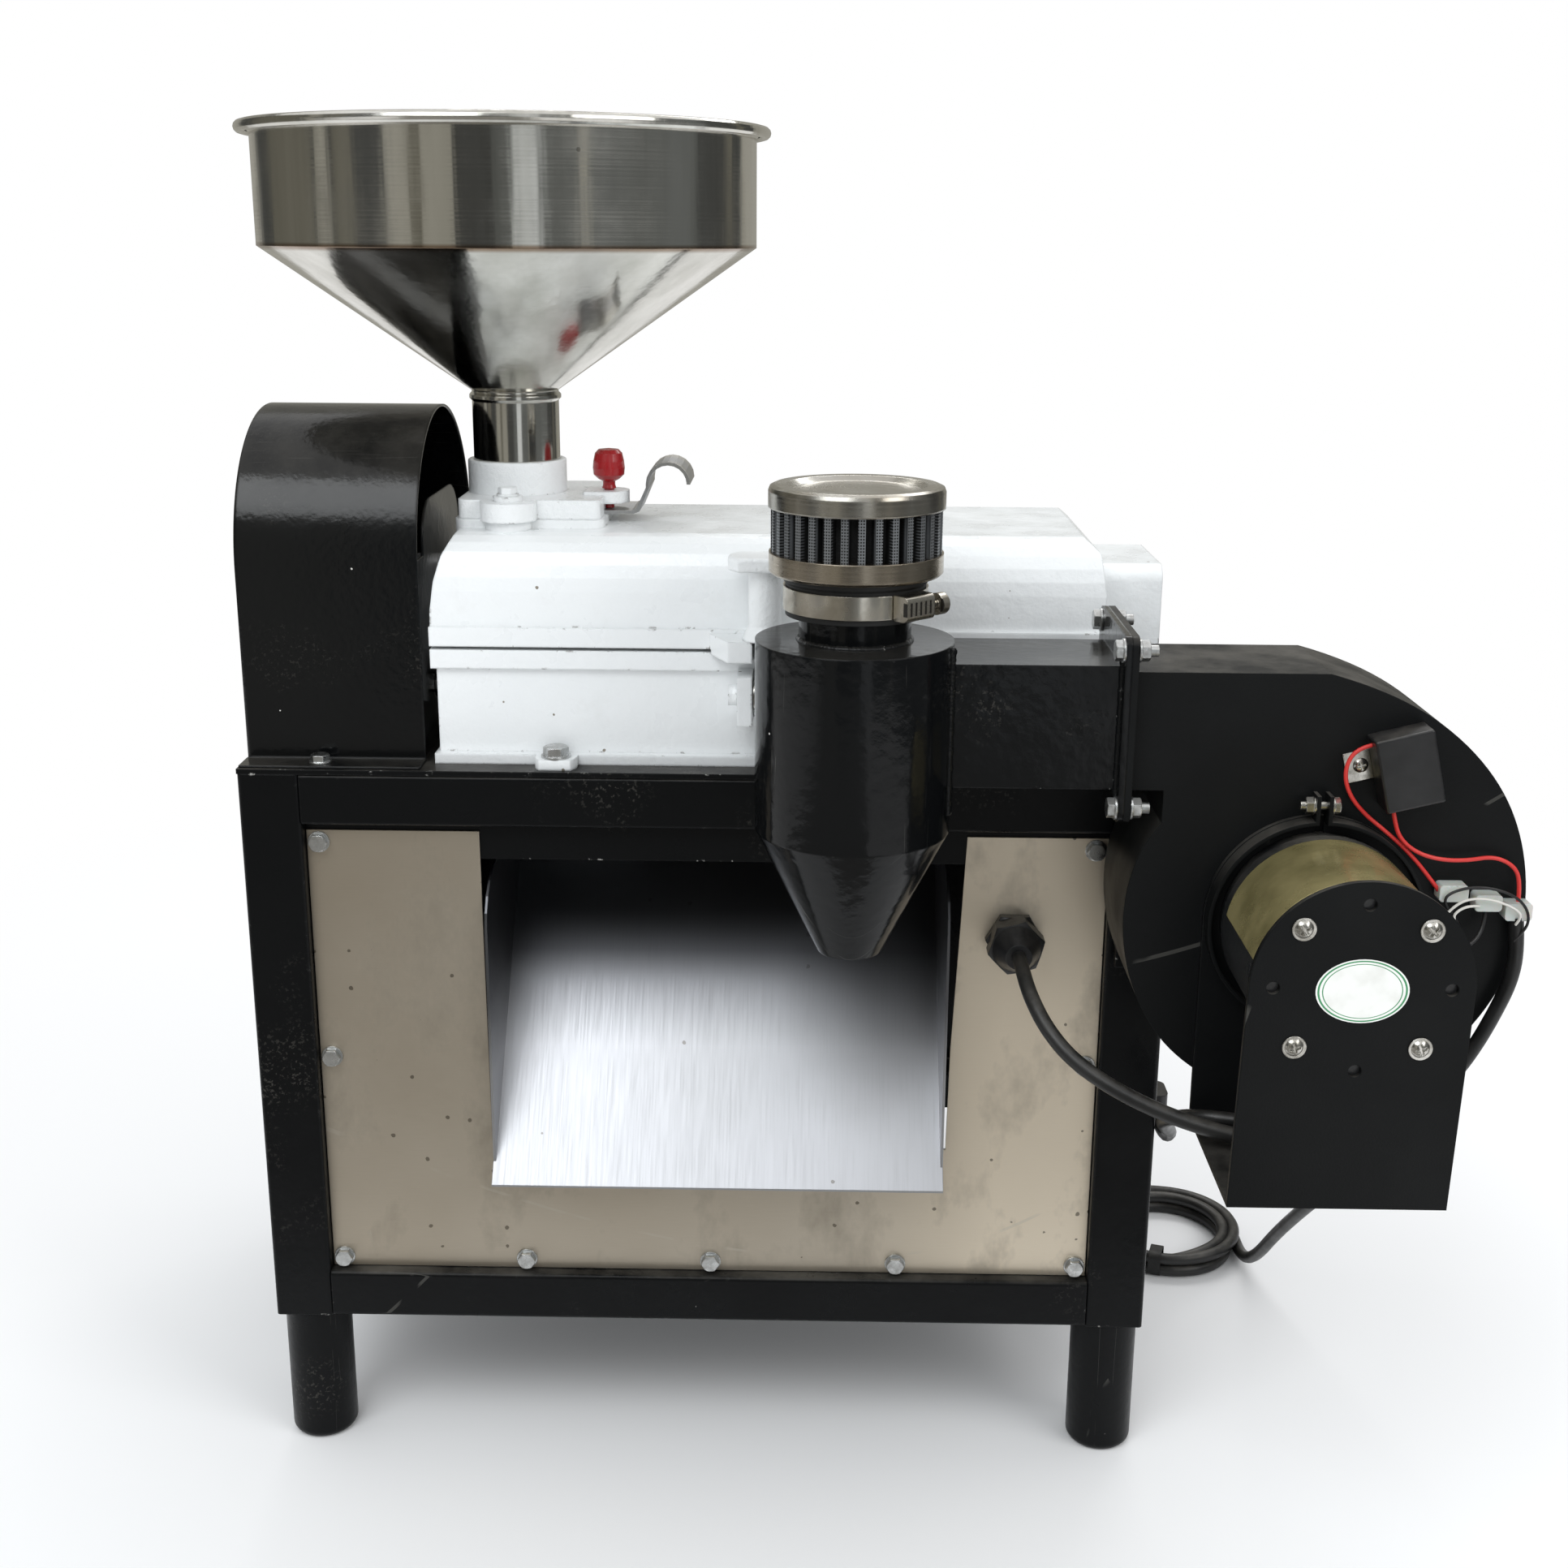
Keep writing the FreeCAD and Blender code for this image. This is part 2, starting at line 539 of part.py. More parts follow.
left_house = left_house.cut([
    box(left_end, MILL_X0 + OVER, 0, back, SPLIT_Z - LIP_H, COVER_TOP),
    cyl_x(LEFT_HOUSE_X - OVER, MILL_X0 + OVER, AXIS_Y, AXIS_Z, SHAFT_HOLE),
    cyl_x(LEFT_BEARING_X, LEFT_BEARING_X + BEARING_W, AXIS_Y, AXIS_Z, BEARING_R + HOLE_FIT),
    cyl_x(LEFT_HOUSE_X - OVER, LEFT_BEARING_X, AXIS_Y, AXIS_Z, BEARING_R - 5),
])
right_house = box(RIGHT_HOUSE_X, RIGHT_HOUSE_X1, AXIS_Y - HOUSE_HALF, AXIS_Y + HOUSE_HALF,
                  AXIS_Z - HOUSE_HALF,
                  AXIS_Z + HOUSE_HALF)
edges = [e for e in right_house.Edges if e.BoundBox.XLength > 30]
right_house = right_house.makeFillet(9.0, edges)
foot = box(MILL_X1, RIGHT_HOUSE_X + OVER, AXIS_Y - HOUSE_HALF, AXIS_Y + HOUSE_HALF, AXIS_Z - HOUSE_HALF,
           SPLIT_Z - LIP_H)
right_house = fuse([right_house, foot]).cut([
    cyl_x(RIGHT_HOUSE_X - 4, RIGHT_HOUSE_X1 + OVER, AXIS_Y, AXIS_Z, SHAFT_HOLE),
    cyl_x(RIGHT_BEARING_X, RIGHT_BEARING_X + BEARING_W, AXIS_Y, AXIS_Z, BEARING_R + HOLE_FIT),
])
house_holes = [cyl_x(LEFT_HOUSE_X - OVER, RIGHT_HOUSE_X1 + OVER, y, z, M6_HOLE) for y, z in house_bolts]
left_house = left_house.cut(house_holes)
right_house = right_house.cut(house_holes)
trough = trough.cut([cyl_x(MILL_X0 - 5, in_x0 + 9, y, z, M6_HOLE) for y, z in house_bolts]
                    + [cyl_x(in_x1 - 9, MILL_X1 + 5, y, z, M6_HOLE) for y, z in house_bolts])
save("lower_casing", trough)
save("bearing_housings", [left_house, right_house])
bearings = []
for x0 in (LEFT_BEARING_X, RIGHT_BEARING_X):
    race = cyl_x(x0, x0 + BEARING_W, AXIS_Y, AXIS_Z, BEARING_R)
    race = race.cut([
        cyl_x(x0 - 1, x0 + BEARING_W + 1, AXIS_Y, AXIS_Z, SHAFT_R + HOLE_FIT),
        cyl_x(x0 - 1, x0 + 1.0, AXIS_Y, AXIS_Z, 21.5).cut(cyl_x(x0 - 2, x0 + 2, AXIS_Y, AXIS_Z, 16.5)),
        cyl_x(x0 + BEARING_W - 1.0, x0 + BEARING_W + 1, AXIS_Y, AXIS_Z, 21.5).cut(
            cyl_x(x0, x0 + BEARING_W + 2, AXIS_Y, AXIS_Z, 16.5)),
    ])
    bearings.append(race)
save("shaft_bearings", bearings)

# Slotted sieve under the roller.
sieve = cyl_x(SIEVE_X0, SIEVE_X1, AXIS_Y, AXIS_Z, SIEVE_R + SIEVE_T)
sieve = sieve.cut(cyl_x(SIEVE_X0 - OVER, SIEVE_X1 + OVER, AXIS_Y, AXIS_Z, SIEVE_R))
sieve = sieve.common(box(SIEVE_X0, SIEVE_X1, 0, back, AXIS_Z - SIEVE_R - 10, cradle_h))
slots = []
for i in range(5):
    angle = -90.0 + (i - 2) * 26.0
    for j in range(8):
        x0 = SIEVE_X0 + 8.0 + 26.0 * j
        slot = Part.makeBox(20.0, 4.0, 14.0, vec(x0, -2.0, SIEVE_R - 6.0))
        slot.rotate(vec(0, 0, 0), vec(1, 0, 0), angle - 90.0)
        slots.append(slot.translated(vec(0, AXIS_Y, AXIS_Z)))
sieve = sieve.cut(slots)
save("sieve_screen", sieve)

# Roller shaft, ribbed hulling roller, feed screw and pulley.
SHAFT_X0 = PULLEY_X0 - 6.0
shaft = cyl_x(SHAFT_X0, RIGHT_BEARING_X + BEARING_W + 4.0, AXIS_Y, AXIS_Z, SHAFT_R)
shaft = shaft.makeChamfer(1.0,
                          shaft.Edges[:1] + [e for e in shaft.Edges if abs(e.BoundBox.XMin - SHAFT_X0) < 0.01])
save("roller_shaft", shaft)
drum = cyl_x(ROLLER_X0, ROLLER_X1, AXIS_Y, AXIS_Z, DRUM_R)
ribs = []
for i in range(6):
    rib = Part.makeBox(ROLLER_X1 - ROLLER_X0, RIB_W, ROLLER_R - 20.0, vec(ROLLER_X0, -RIB_W / 2, 20.0))
    rib.rotate(vec(0, 0, 0), vec(1, 0, 0), 60.0 * i)
    ribs.append(rib.translated(vec(0, AXIS_Y, AXIS_Z)))
drum = fuse([drum] + ribs).common(cyl_x(ROLLER_X0, ROLLER_X1, AXIS_Y, AXIS_Z, ROLLER_R))
drum = drum.cut([
    cyl_x(ROLLER_X0 - 1, ROLLER_X1 + 1, AXIS_Y, AXIS_Z, SHAFT_R),
    cyl_x(ROLLER_X0 + 12, ROLLER_X1 - 12, AXIS_Y, AXIS_Z, DRUM_R - DRUM_WALL),
])
drum = fuse([drum, cyl_x(ROLLER_X0 + 11, ROLLER_X1 - 11, AXIS_Y, AXIS_Z, SHAFT_R + 6).cut(
    cyl_x(ROLLER_X0, ROLLER_X1, AXIS_Y, AXIS_Z, SHAFT_R))])
save("hulling_roller", drum)
SCREW_X0 = MILL_X0 + CAST_WALL + 5.0
SCREW_PITCH = 36.0
SCREW_TURNS = 1.75
helix = Part.makeHelix(SCREW_PITCH, SCREW_PITCH * SCREW_TURNS, 18.0)
flight_pts = [vec(16.0, 0, 0), vec(SCREW_R, 0, 1.0), vec(SCREW_R, 0, 4.0), vec(16.0, 0, 5.0),
              vec(16.0, 0, 0)]
flight = Part.Wire(helix).makePipeShell([Part.makePolygon(flight_pts)], True, True)
flight = place(flight, (SCREW_X0 + 1.0, AXIS_Y, AXIS_Z), (1, 0, 0))
screw_core = cyl_x(SCREW_X0, ROLLER_X0, AXIS_Y, AXIS_Z, 20.0)
screw = screw_core.fuse(flight).cut(cyl_x(SCREW_X0 - 5, ROLLER_X0 + 5, AXIS_Y, AXIS_Z, SHAFT_R))
save("feed_screw", screw)


def pulley(y, z, belt_r, bore):
    top = belt_r + 2.5
    bottom = belt_r - BELT_T - BODY_GAP
    outline = [(PULLEY_X0, bore), (PULLEY_X0, top)]
    half = BELT_W * 0.5 + BODY_GAP
    for bx in BELT_X:
        outline += [(bx - half, top), (bx - half, bottom), (bx + half, bottom), (bx + half, top)]
    outline += [(PULLEY_X1, top), (PULLEY_X1, bore)]
    wheel = revolve_x(outline, y, z)
    web_r = bottom - 6.0
    if web_r > bore + 16.0:
        for x0, x1 in ((PULLEY_X0 - 1, PULLEY_X0 + 12), (PULLEY_X1 - 12, PULLEY_X1 + 1)):
            ring = cyl_x(x0, x1, y, z, web_r).cut(cyl_x(x0 - 1, x1 + 1, y, z, bore + 8.0))
            wheel = wheel.cut(ring)
    return wheel


save("roller_pulley", pulley(AXIS_Y, AXIS_Z, ROLLER_BELT_R, SHAFT_R))
save("motor_pulley", pulley(MOTOR_Y, MOTOR_Z, MOTOR_BELT_R, MOTOR_SHAFT_R))


def belt_face(r1, r2, x):
    """The area inside a belt line that runs round both pulleys."""
    dy = MOTOR_Y - AXIS_Y
    dz = MOTOR_Z - AXIS_Z
    dist = math.hypot(dy, dz)
    heading = math.atan2(dz, dy)
    lean = math.acos((r1 - r2) / dist)
    ends = []
    for sign in (1, -1):
        a = heading + sign * lean
        ends.append((vec(x, AXIS_Y + r1 * math.cos(a), AXIS_Z + r1 * math.sin(a)),
                     vec(x, MOTOR_Y + r2 * math.cos(a), MOTOR_Z + r2 * math.sin(a))))
    far1 = vec(x, AXIS_Y - r1 * math.cos(heading), AXIS_Z - r1 * math.sin(heading))
    far2 = vec(x, MOTOR_Y + r2 * math.cos(heading), MOTOR_Z + r2 * math.sin(heading))
    path = [
        Part.LineSegment(ends[0][0], ends[0][1]).toShape(),
        Part.Arc(ends[0][1], far2, ends[1][1]).toShape(),
        Part.LineSegment(ends[1][1], ends[1][0]).toShape(),
        Part.Arc(ends[1][0], far1, ends[0][0]).toShape(),
    ]
    return Part.Face(Part.Wire(path))


belts = []
for bx in BELT_X:
    x0 = bx - BELT_W * 0.5
    outer = belt_face(ROLLER_BELT_R, MOTOR_BELT_R, x0)
    hole = belt_face(ROLLER_BELT_R - BELT_T, MOTOR_BELT_R - BELT_T, x0)
    belts.append(outer.cut(hole).extrude(vec(BELT_W, 0, 0)))
save("drive_belts", belts)

# Drive motor on two cross bars inside the stand.
BAR_X = (165.0, 275.0)
bars = []
motor_bolts = [(x + 18.0, y) for x in BAR_X for y in (MOTOR_Y - 62.0, MOTOR_Y + 62.0)]
for x0 in BAR_X:
    bar = box(x0, x0 + 36.0, strip_y1 + 2, back_y0 - 2, open_z0, BAR_TOP)
    bars.append(bar.cut([cyl_z(x, y, open_z0 - 1, BAR_TOP + 1, M8_HOLE) for x, y in motor_bolts]))
save("motor_bars", bars)
MOTOR_X0 = 118.0
MOTOR_X1 = 322.0
can = cyl_x(MOTOR_X0 + 14, MOTOR_X1 - 40, MOTOR_Y, MOTOR_Z, MOTOR_R - 5)
fins = []
for i in range(24):
    fin = Part.makeBox(MOTOR_X1 - MOTOR_X0 - 62, 2.4, 12.0, vec(MOTOR_X0 + 18, -1.2, MOTOR_R - 12))
    fin.rotate(vec(0, 0, 0), vec(1, 0, 0), 15.0 * i)
    fins.append(fin.translated(vec(0, MOTOR_Y, MOTOR_Z)))
end_bell = cyl_x(MOTOR_X0, MOTOR_X0 + 18, MOTOR_Y, MOTOR_Z, MOTOR_R - 2)
cowl = cyl_x(MOTOR_X1 - 44, MOTOR_X1, MOTOR_Y, MOTOR_Z, MOTOR_R)
feet = box(BAR_X[0] - 2, BAR_X[1] + 38, MOTOR_Y - 76, MOTOR_Y + 76, BAR_TOP, BAR_TOP + 10)
pedestal = box(BAR_X[0] + 4, BAR_X[1] + 32, MOTOR_Y - 44, MOTOR_Y + 44, BAR_TOP, MOTOR_Z - 30)
terminal = box(180.0, 250.0, MOTOR_Y - 34, MOTOR_Y + 34, MOTOR_Z + 50, MOTOR_Z + 92)
motor = fuse([can, end_bell, cowl, feet, pedestal, terminal] + fins)
motor = motor.cut([cyl_z(x, y, BAR_TOP - 1, BAR_TOP + 12, M8_HOLE) for x, y in motor_bolts]
                  + [cyl_x(MOTOR_X0 - 1, MOTOR_X0 + 60, MOTOR_Y, MOTOR_Z, MOTOR_SHAFT_R + HOLE_FIT)])
save("drive_motor", motor)
save("motor_shaft", cyl_x(SHAFT_X0, MOTOR_X0 + 60, MOTOR_Y, MOTOR_Z, MOTOR_SHAFT_R))

# Belt guard over the roller pulley, with a foot flange, and its backing plate.
guard_r = (GUARD_Y1 - GUARD_Y0) * 0.5
guard_cz = GUARD_TOP - guard_r
guard_cy = (GUARD_Y0 + GUARD_Y1) * 0.5


def arch(x0, x1, inset, z0):
    r = guard_r - inset
    block = box(x0, x1, guard_cy - r, guard_cy + r, z0, guard_cz)
    return fuse([block, cyl_x(x0, x1, guard_cy, guard_cz, r)])


outer = arch(GUARD_X0, GUARD_X1, 0.0, TABLE_Z)
face_rim = [e for e in outer.Edges if e.BoundBox.XMax < GUARD_X0 + 0.01 and e.BoundBox.ZMax > TABLE_Z
            + OVER]
outer = outer.makeFillet(GUARD_EDGE, face_rim)
hood = outer.cut(arch(GUARD_X0 + GUARD_T, GUARD_X1 + OVER, GUARD_T, TABLE_Z - OVER))
GUARD_FOOT = 17.5
flanges = [box(GUARD_X0, GUARD_X1, GUARD_Y0 - GUARD_FOOT, GUARD_Y0 + 0.5, TABLE_Z, TABLE_Z + GUARD_T),
           box(GUARD_X0, GUARD_X1, GUARD_Y1 - 0.5, GUARD_Y1 + GUARD_FOOT, TABLE_Z, TABLE_Z + GUARD_T)]
hood = fuse([hood] + flanges)
hood = hood.cut([cyl_z(x, y, TABLE_Z - 2, TABLE_Z + 5, M6_HOLE) for x, y in guard_bolts])
save("belt_guard", hood)
BACK_X = GUARD_X1 - 4.0
BACK_TOP = TABLE_Z + 144.0
backing = arch(BACK_X, BACK_X + GUARD_T, GUARD_T, TABLE_Z).common(
    box(BACK_X - OVER, BACK_X + 10, 0, back, TABLE_Z, BACK_TOP - 30.0))
crown = box(BACK_X, BACK_X + GUARD_T, guard_cy - 55, guard_cy + 55, BACK_TOP - 31.0, BACK_TOP)
crown = crown.makeFillet(26.0,
                         [e for e in crown.Edges if e.BoundBox.XLength > 1 and e.BoundBox.ZMin > BACK_TOP - 1])
backing = fuse([backing, crown]).cut(cyl_x(BACK_X - 20, BACK_X + 10, AXIS_Y, AXIS_Z, HOUSE_R + 1.0))
foot_tab = box(BACK_X - 12.0, BACK_X + GUARD_T, guard_cy - 60, guard_cy - 45, TABLE_Z, TABLE_Z + GUARD_T)
backing = fuse([backing, foot_tab])
backing = backing.cut([cyl_x(BACK_X - 20, BACK_X + 10, y, z, 8.0) for y, z in house_bolts])
save("guard_backing_plate", backing)

# Upper casing: a hollow iron cover with a flange, a feed pad, hinge knuckles and the clamp's lug.
cover_z0 = SPLIT_Z + SPLIT_GAP
SHOULDER = 25.0
CROWN = 30.0


def cover_block(inset):
    """The cover's rounded block, smaller by the inset on every side but the bottom."""
    z1 = COVER_TOP - inset
    y0 = MILL_Y0 - 1 + inset
    y1 = MILL_Y1 + 1 - inset
    across = [(y0, cover_z0)]
    along = []
    for a in (0, 15, 30, 45, 60, 75, 90):
        s = math.sin(math.radians(a))
        c = math.cos(math.radians(a))
        across.append((y0 + SHOULDER * (1 - c), z1 - CROWN + CROWN * s))
    for a in (90, 75, 60, 45, 30, 15, 0):
        s = math.sin(math.radians(a))
        c = math.cos(math.radians(a))
        across.append((y1 - SHOULDER * (1 - c), z1 - CROWN + CROWN * s))
    across.append((y1, cover_z0))
    x0 = MILL_X0 - 3 + inset
    x1 = MILL_X1 + 1 - inset
    along.append((x0, cover_z0))
    along.append((x0 + 0.5, z1 - 42.0))
    along.append((x0 + 3.0, z1 - 25.0))
    along.append((x0 + 7.0, z1 - 11.0))
    along.append((x0 + 13.0, z1))
    along.append((x1 - 11.0, z1))
    along.append((x1 - 3.0, z1 - 7.0))
    along.append((x1, z1 - 30.0))
    along.append((x1, cover_z0))
    return prism_x(across, 0, STAND_W).common(prism_y(along, 0, back))


pad = box(FEED_X - 30.6, FEED_X + 55.4, FEED_Y - 47.0, FEED_Y + 47.0, COVER_TOP - 3, PAD_TOP)
pad = pad.makeFillet(8.0, [e for e in pad.Edges if e.BoundBox.ZLength > 4])
lip_block = box(MILL_X0 - LIP, MILL_X1 + LIP - 1, MILL_Y0 - LIP - 1, MILL_Y1 + LIP + 1, cover_z0,
                cover_z0 + LIP_H)
lug_pts = [(CLAMP_X - 33, MILL_Y0), (CLAMP_X - 20, CLAMP_Y - 9), (CLAMP_X + 20, CLAMP_Y - 9),
           (CLAMP_X + 33, MILL_Y0)]
LUG_Z0 = SPLIT_Z - 1.0
lug = prism_z(lug_pts, LUG_Z0, LUG_TOP).cut(box(0, right, MILL_Y0 - LIP - 2, MILL_Y1, LUG_Z0 - 1, cover_z0))
knuckles = []
for hx in HINGES:
    knuckles.append(cyl_x(hx - 7.7, hx + 7.7, HINGE_Y, hinge_z, HINGE_R))
    knuckles.append(prism_x([(MILL_Y1, cover_z0), (HINGE_Y, hinge_z + 1), (HINGE_Y + 4, hinge_z + 6),
                             (HINGE_Y - 2, cover_z0 + LIP_H), (MILL_Y1,
                                                               cover_z0 + LIP_H)], hx - 7.7, hx + 7.7))
cover = fuse([cover_block(0.0), lip_block, lug, pad] + knuckles)
cover = cover.cut([
    cover_block(CAST_WALL),
    cyl_z(FEED_X, FEED_Y, COVER_TOP - 20, PAD_TOP + OVER, FEED_R),
    cyl_x(MILL_X0 - 20, MILL_X1 + 20, AXIS_Y, AXIS_Z, SHAFT_HOLE),
])
cover = cover.cut([cyl_x(hx - 9, hx + 9, HINGE_Y, hinge_z, PIN_R + HOLE_FIT) for hx in HINGES])
cover = cover.cut([cyl_x(x0 - BODY_GAP, x0 + 8.0 + BODY_GAP, HINGE_Y, hinge_z, HINGE_R + 0.5)
                   for hx in HINGES for x0 in (hx - 16.0, hx + 8.0)])
slot_half = CLAMP_BOLT_R + 1.5
cover = cover.cut([
    cyl_z(CLAMP_X, CLAMP_Y, LUG_Z0 - 1, LUG_TOP + 1, slot_half),
    box(CLAMP_X - slot_half, CLAMP_X + slot_half, CLAMP_Y - 20, CLAMP_Y, LUG_Z0 - 1, LUG_TOP + 1),
])
feed_bolts = [(FEED_X + 1.4, y) for y in (FEED_Y - FEED_BOLT_REACH, FEED_Y + FEED_BOLT_REACH)]
boss_pads = [cyl_z(x, y, COVER_TOP - 5, PAD_TOP, 13.0) for x, y in feed_bolts]
cover = fuse([cover] + boss_pads)
cover = cover.cut([cyl_z(x, y, COVER_TOP - 12, PAD_TOP + 1, M6_HOLE) for x, y in feed_bolts])
save("upper_casing", cover)
blade = box(ROLLER_X0 + 3, ROLLER_X1 - 5, AXIS_Y + 2, AXIS_Y + 12, AXIS_Z + ROLLER_R + RUNNING_GAP,
            COVER_TOP - CAST_WALL)
save("hulling_blade", blade)

# Pivot pins: two for the cover's hinge and one for the clamp bolt.
pins = [cyl_x(hx - 19.0, hx + 19.0, HINGE_Y, hinge_z, PIN_R) for hx in HINGES]
clamp_pin = fuse([cyl_x(CLAMP_X - 20.0, CLAMP_X + 18.0, CLAMP_Y, CLAMP_PIN_Z, PIN_R),
                  cyl_x(CLAMP_X - 20.0, CLAMP_X - 15.0, CLAMP_Y, CLAMP_PIN_Z, PIN_R + 1.8)])
save("pivot_pins", pins + [clamp_pin])
eye = cyl_x(CLAMP_X - 6.0, CLAMP_X + 6.0, CLAMP_Y, CLAMP_PIN_Z, 9.0)
stem = cyl_z(CLAMP_X, CLAMP_Y, CLAMP_PIN_Z, CLAMP_BOLT_TOP, CLAMP_BOLT_R)
swing = fuse([eye, stem]).cut(cyl_x(CLAMP_X - 7, CLAMP_X + 7, CLAMP_Y, CLAMP_PIN_Z, PIN_R + HOLE_FIT))
save("swing_bolt", swing)
NUT_R = 9.0
NUT_SKIRT = 8.0
NUT_PLATE = 8.0
hub = cyl_z(CLAMP_X, CLAMP_Y, LUG_TOP, NUT_TOP - OVER, NUT_R)
flare = Part.makeCone(NUT_R + 3.5, NUT_R, NUT_SKIRT, vec(CLAMP_X, CLAMP_Y, LUG_TOP))
wing_pts = [(-20, -5), (-14, -14), (14, -14), (20, -5), (20, 5), (14, 14), (-14, 14), (-20, 5)]
wing = prism_z([(CLAMP_X + a, CLAMP_Y + b) for a, b in wing_pts], NUT_TOP - NUT_PLATE, NUT_TOP)
wing = wing.makeFillet(1.8, [e for e in wing.Edges if e.BoundBox.ZLength < 0.1])
nut = fuse([hub, flare, wing])
nut = nut.cut(cyl_z(CLAMP_X, CLAMP_Y, LUG_TOP - 1, CLAMP_BOLT_TOP + RUNNING_GAP, CLAMP_BOLT_R + 0.8))
save("clamp_nut", nut)

# Feed base: plate with the gate's slot, a collar, two bolt bosses and the lock knob's ear.
PLATE_X0 = FEED_X - 28.6
PLATE_X1 = FEED_X + 53.4
PLATE_HALF_D = 45.0
plate = box(PLATE_X0, PLATE_X1, FEED_Y - PLATE_HALF_D, FEED_Y + PLATE_HALF_D, PAD_TOP, FEED_PLATE_TOP)
plate = plate.makeFillet(5.0, [e for e in plate.Edges if e.BoundBox.ZLength > 8])
bosses = [cyl_z(x, y, PAD_TOP, FEED_PLATE_TOP, 16.0) for x, y in feed_bolts]
boss_x = feed_bolts[0][0]
bosses.append(box(boss_x - 16.0, boss_x + 16.0, feed_bolts[0][1], feed_bolts[1][1] - 9.0, PAD_TOP,
                  FEED_PLATE_TOP))
hubs = [cyl_z(x, y, PAD_TOP, FEED_PLATE_TOP + 3.0, 8.5) for x, y in feed_bolts]
collar = cyl_z(FEED_X, FEED_Y, PAD_TOP, COLLAR_TOP, COLLAR_R)
collar = collar.makeFillet(1.2, [e for e in collar.Edges if e.BoundBox.ZMin > COLLAR_TOP - 0.1])
KNOB_X = PLATE_X1 + 2.0
KNOB_Y = FEED_Y - 10.0
EAR_Z0 = PAD_TOP + 6.0
EAR_Z1 = EAR_Z0 + 7.0
ear = fuse([cyl_z(KNOB_X, KNOB_Y, EAR_Z0, EAR_Z1, 12.0), box(KNOB_X - 14.0, KNOB_X, KNOB_Y - 12,
                                                             KNOB_Y + 12, EAR_Z0, EAR_Z1)])
base = fuse([plate, collar, ear] + bosses + hubs)
GATE_Y0 = FEED_Y - 20.0
GATE_Y1 = FEED_Y + 20.0
base = base.cut([
    box(PLATE_X0 - OVER, PLATE_X1 + OVER, GATE_Y0 - SLIDE_FIT, GATE_Y1 + SLIDE_FIT, PAD_TOP - 1,
        PAD_TOP + GATE_T + 3 * SLIDE_FIT),
    cyl_z(FEED_X, FEED_Y, PAD_TOP - 1, COLLAR_TOP + 1, FEED_R),
    cyl_z(FEED_X, FEED_Y, SEAT_Z, COLLAR_TOP + 1, TUBE_R + HOLE_FIT),
    cyl_z(KNOB_X, KNOB_Y, PAD_TOP, EAR_Z1 + OVER, M6_HOLE),
] + [cyl_z(x, y, PAD_TOP - 1, FEED_PLATE_TOP + 5, M6_HOLE) for x, y in feed_bolts])
save("feed_base", base)
feed_screws = [hex_bolt((x, y, FEED_PLATE_TOP + 3.0), (0, 0, 1), 6.0, 20.0) for x, y in feed_bolts]
save("feed_base_bolts", feed_screws)

# Gate slide with its curled pull tongue.
gate_z0 = PAD_TOP + SLIDE_FIT
gate_z1 = gate_z0 + GATE_T
CURL_X = PLATE_X1 + 37.5
CURL_Z = PAD_TOP + 17.5
CURL_R = 13.0
GATE_X0 = PLATE_X0 + 1.0
BEND_X = CURL_X - 20.5


def curl_arc(r, angles):
    return [(CURL_X + r * math.cos(math.radians(a)), CURL_Z + r * math.sin(math.radians(a)))
            for a in angles]


under = [(GATE_X0, gate_z0), (BEND_X, gate_z0), (BEND_X + 3.6, gate_z0 + 1.4),
         (CURL_X - CURL_R + GATE_T, CURL_Z - 2)]
over = [(CURL_X - CURL_R, CURL_Z - 2), (BEND_X + 1.8, gate_z1 + 1.2), (BEND_X - 0.8, gate_z1),
        (GATE_X0, gate_z1)]
gate_outline = under + curl_arc(CURL_R - GATE_T, range(180, -10, -18)) + curl_arc(CURL_R,
                                                                                  range(0, 190, 18)) + over
save("gate_slide", prism_y(gate_outline, GATE_Y0, GATE_Y1))
KNOB_Z = EAR_Z1 + 1.0
knob_pts = [(0, -11.5), (M6_R, -11.5), (M6_R, 0), (4.2, 0), (3.6, 2.0), (3.6, 4.0), (6.4, 5.5), (9.0, 8.0),
            (9.4, 12.0),
            (9.0, 16.0), (8.0, 20.5), (6.0, 22.6), (0, 23.4)]
save("gate_knob", revolve_z([(r, KNOB_Z + h) for r, h in knob_pts], KNOB_X, KNOB_Y))

# Hopper: spun sheet bowl with a rolled rim, a cone and a neck tube.
roll_r = RIM_R - RIM_ROLL
outside = [(TUBE_R, SEAT_Z), (TUBE_R, CONE_Z0 - 6), (TUBE_R + 1.4, CONE_Z0 - 4.5),
           (TUBE_R + 1.4, CONE_Z0 - 2.5),
           (TUBE_R, CONE_Z0 - 1), (TUBE_R, CONE_Z0), (HOPPER_R, CONE_Z1), (HOPPER_R, RIM_Z - 3.0)]
inside = [(HOPPER_R - SHEET, RIM_Z - 2.4), (HOPPER_R - SHEET, CONE_Z1 + 0.6),
          (TUBE_R - SHEET, CONE_Z0 + 0.6),
          (TUBE_R - SHEET, SEAT_Z)]


def roll_arc(r, angles):
    return [(roll_r + r * math.cos(math.radians(a)), RIM_Z + r * math.sin(math.radians(a))) for a in angles]


curl = roll_arc(RIM_ROLL - SHEET, range(180, -151, -30)) + roll_arc(RIM_ROLL, range(-150, 181, 30))
save("hopper", revolve_z(outside + curl + inside, FEED_X, FEED_Y))

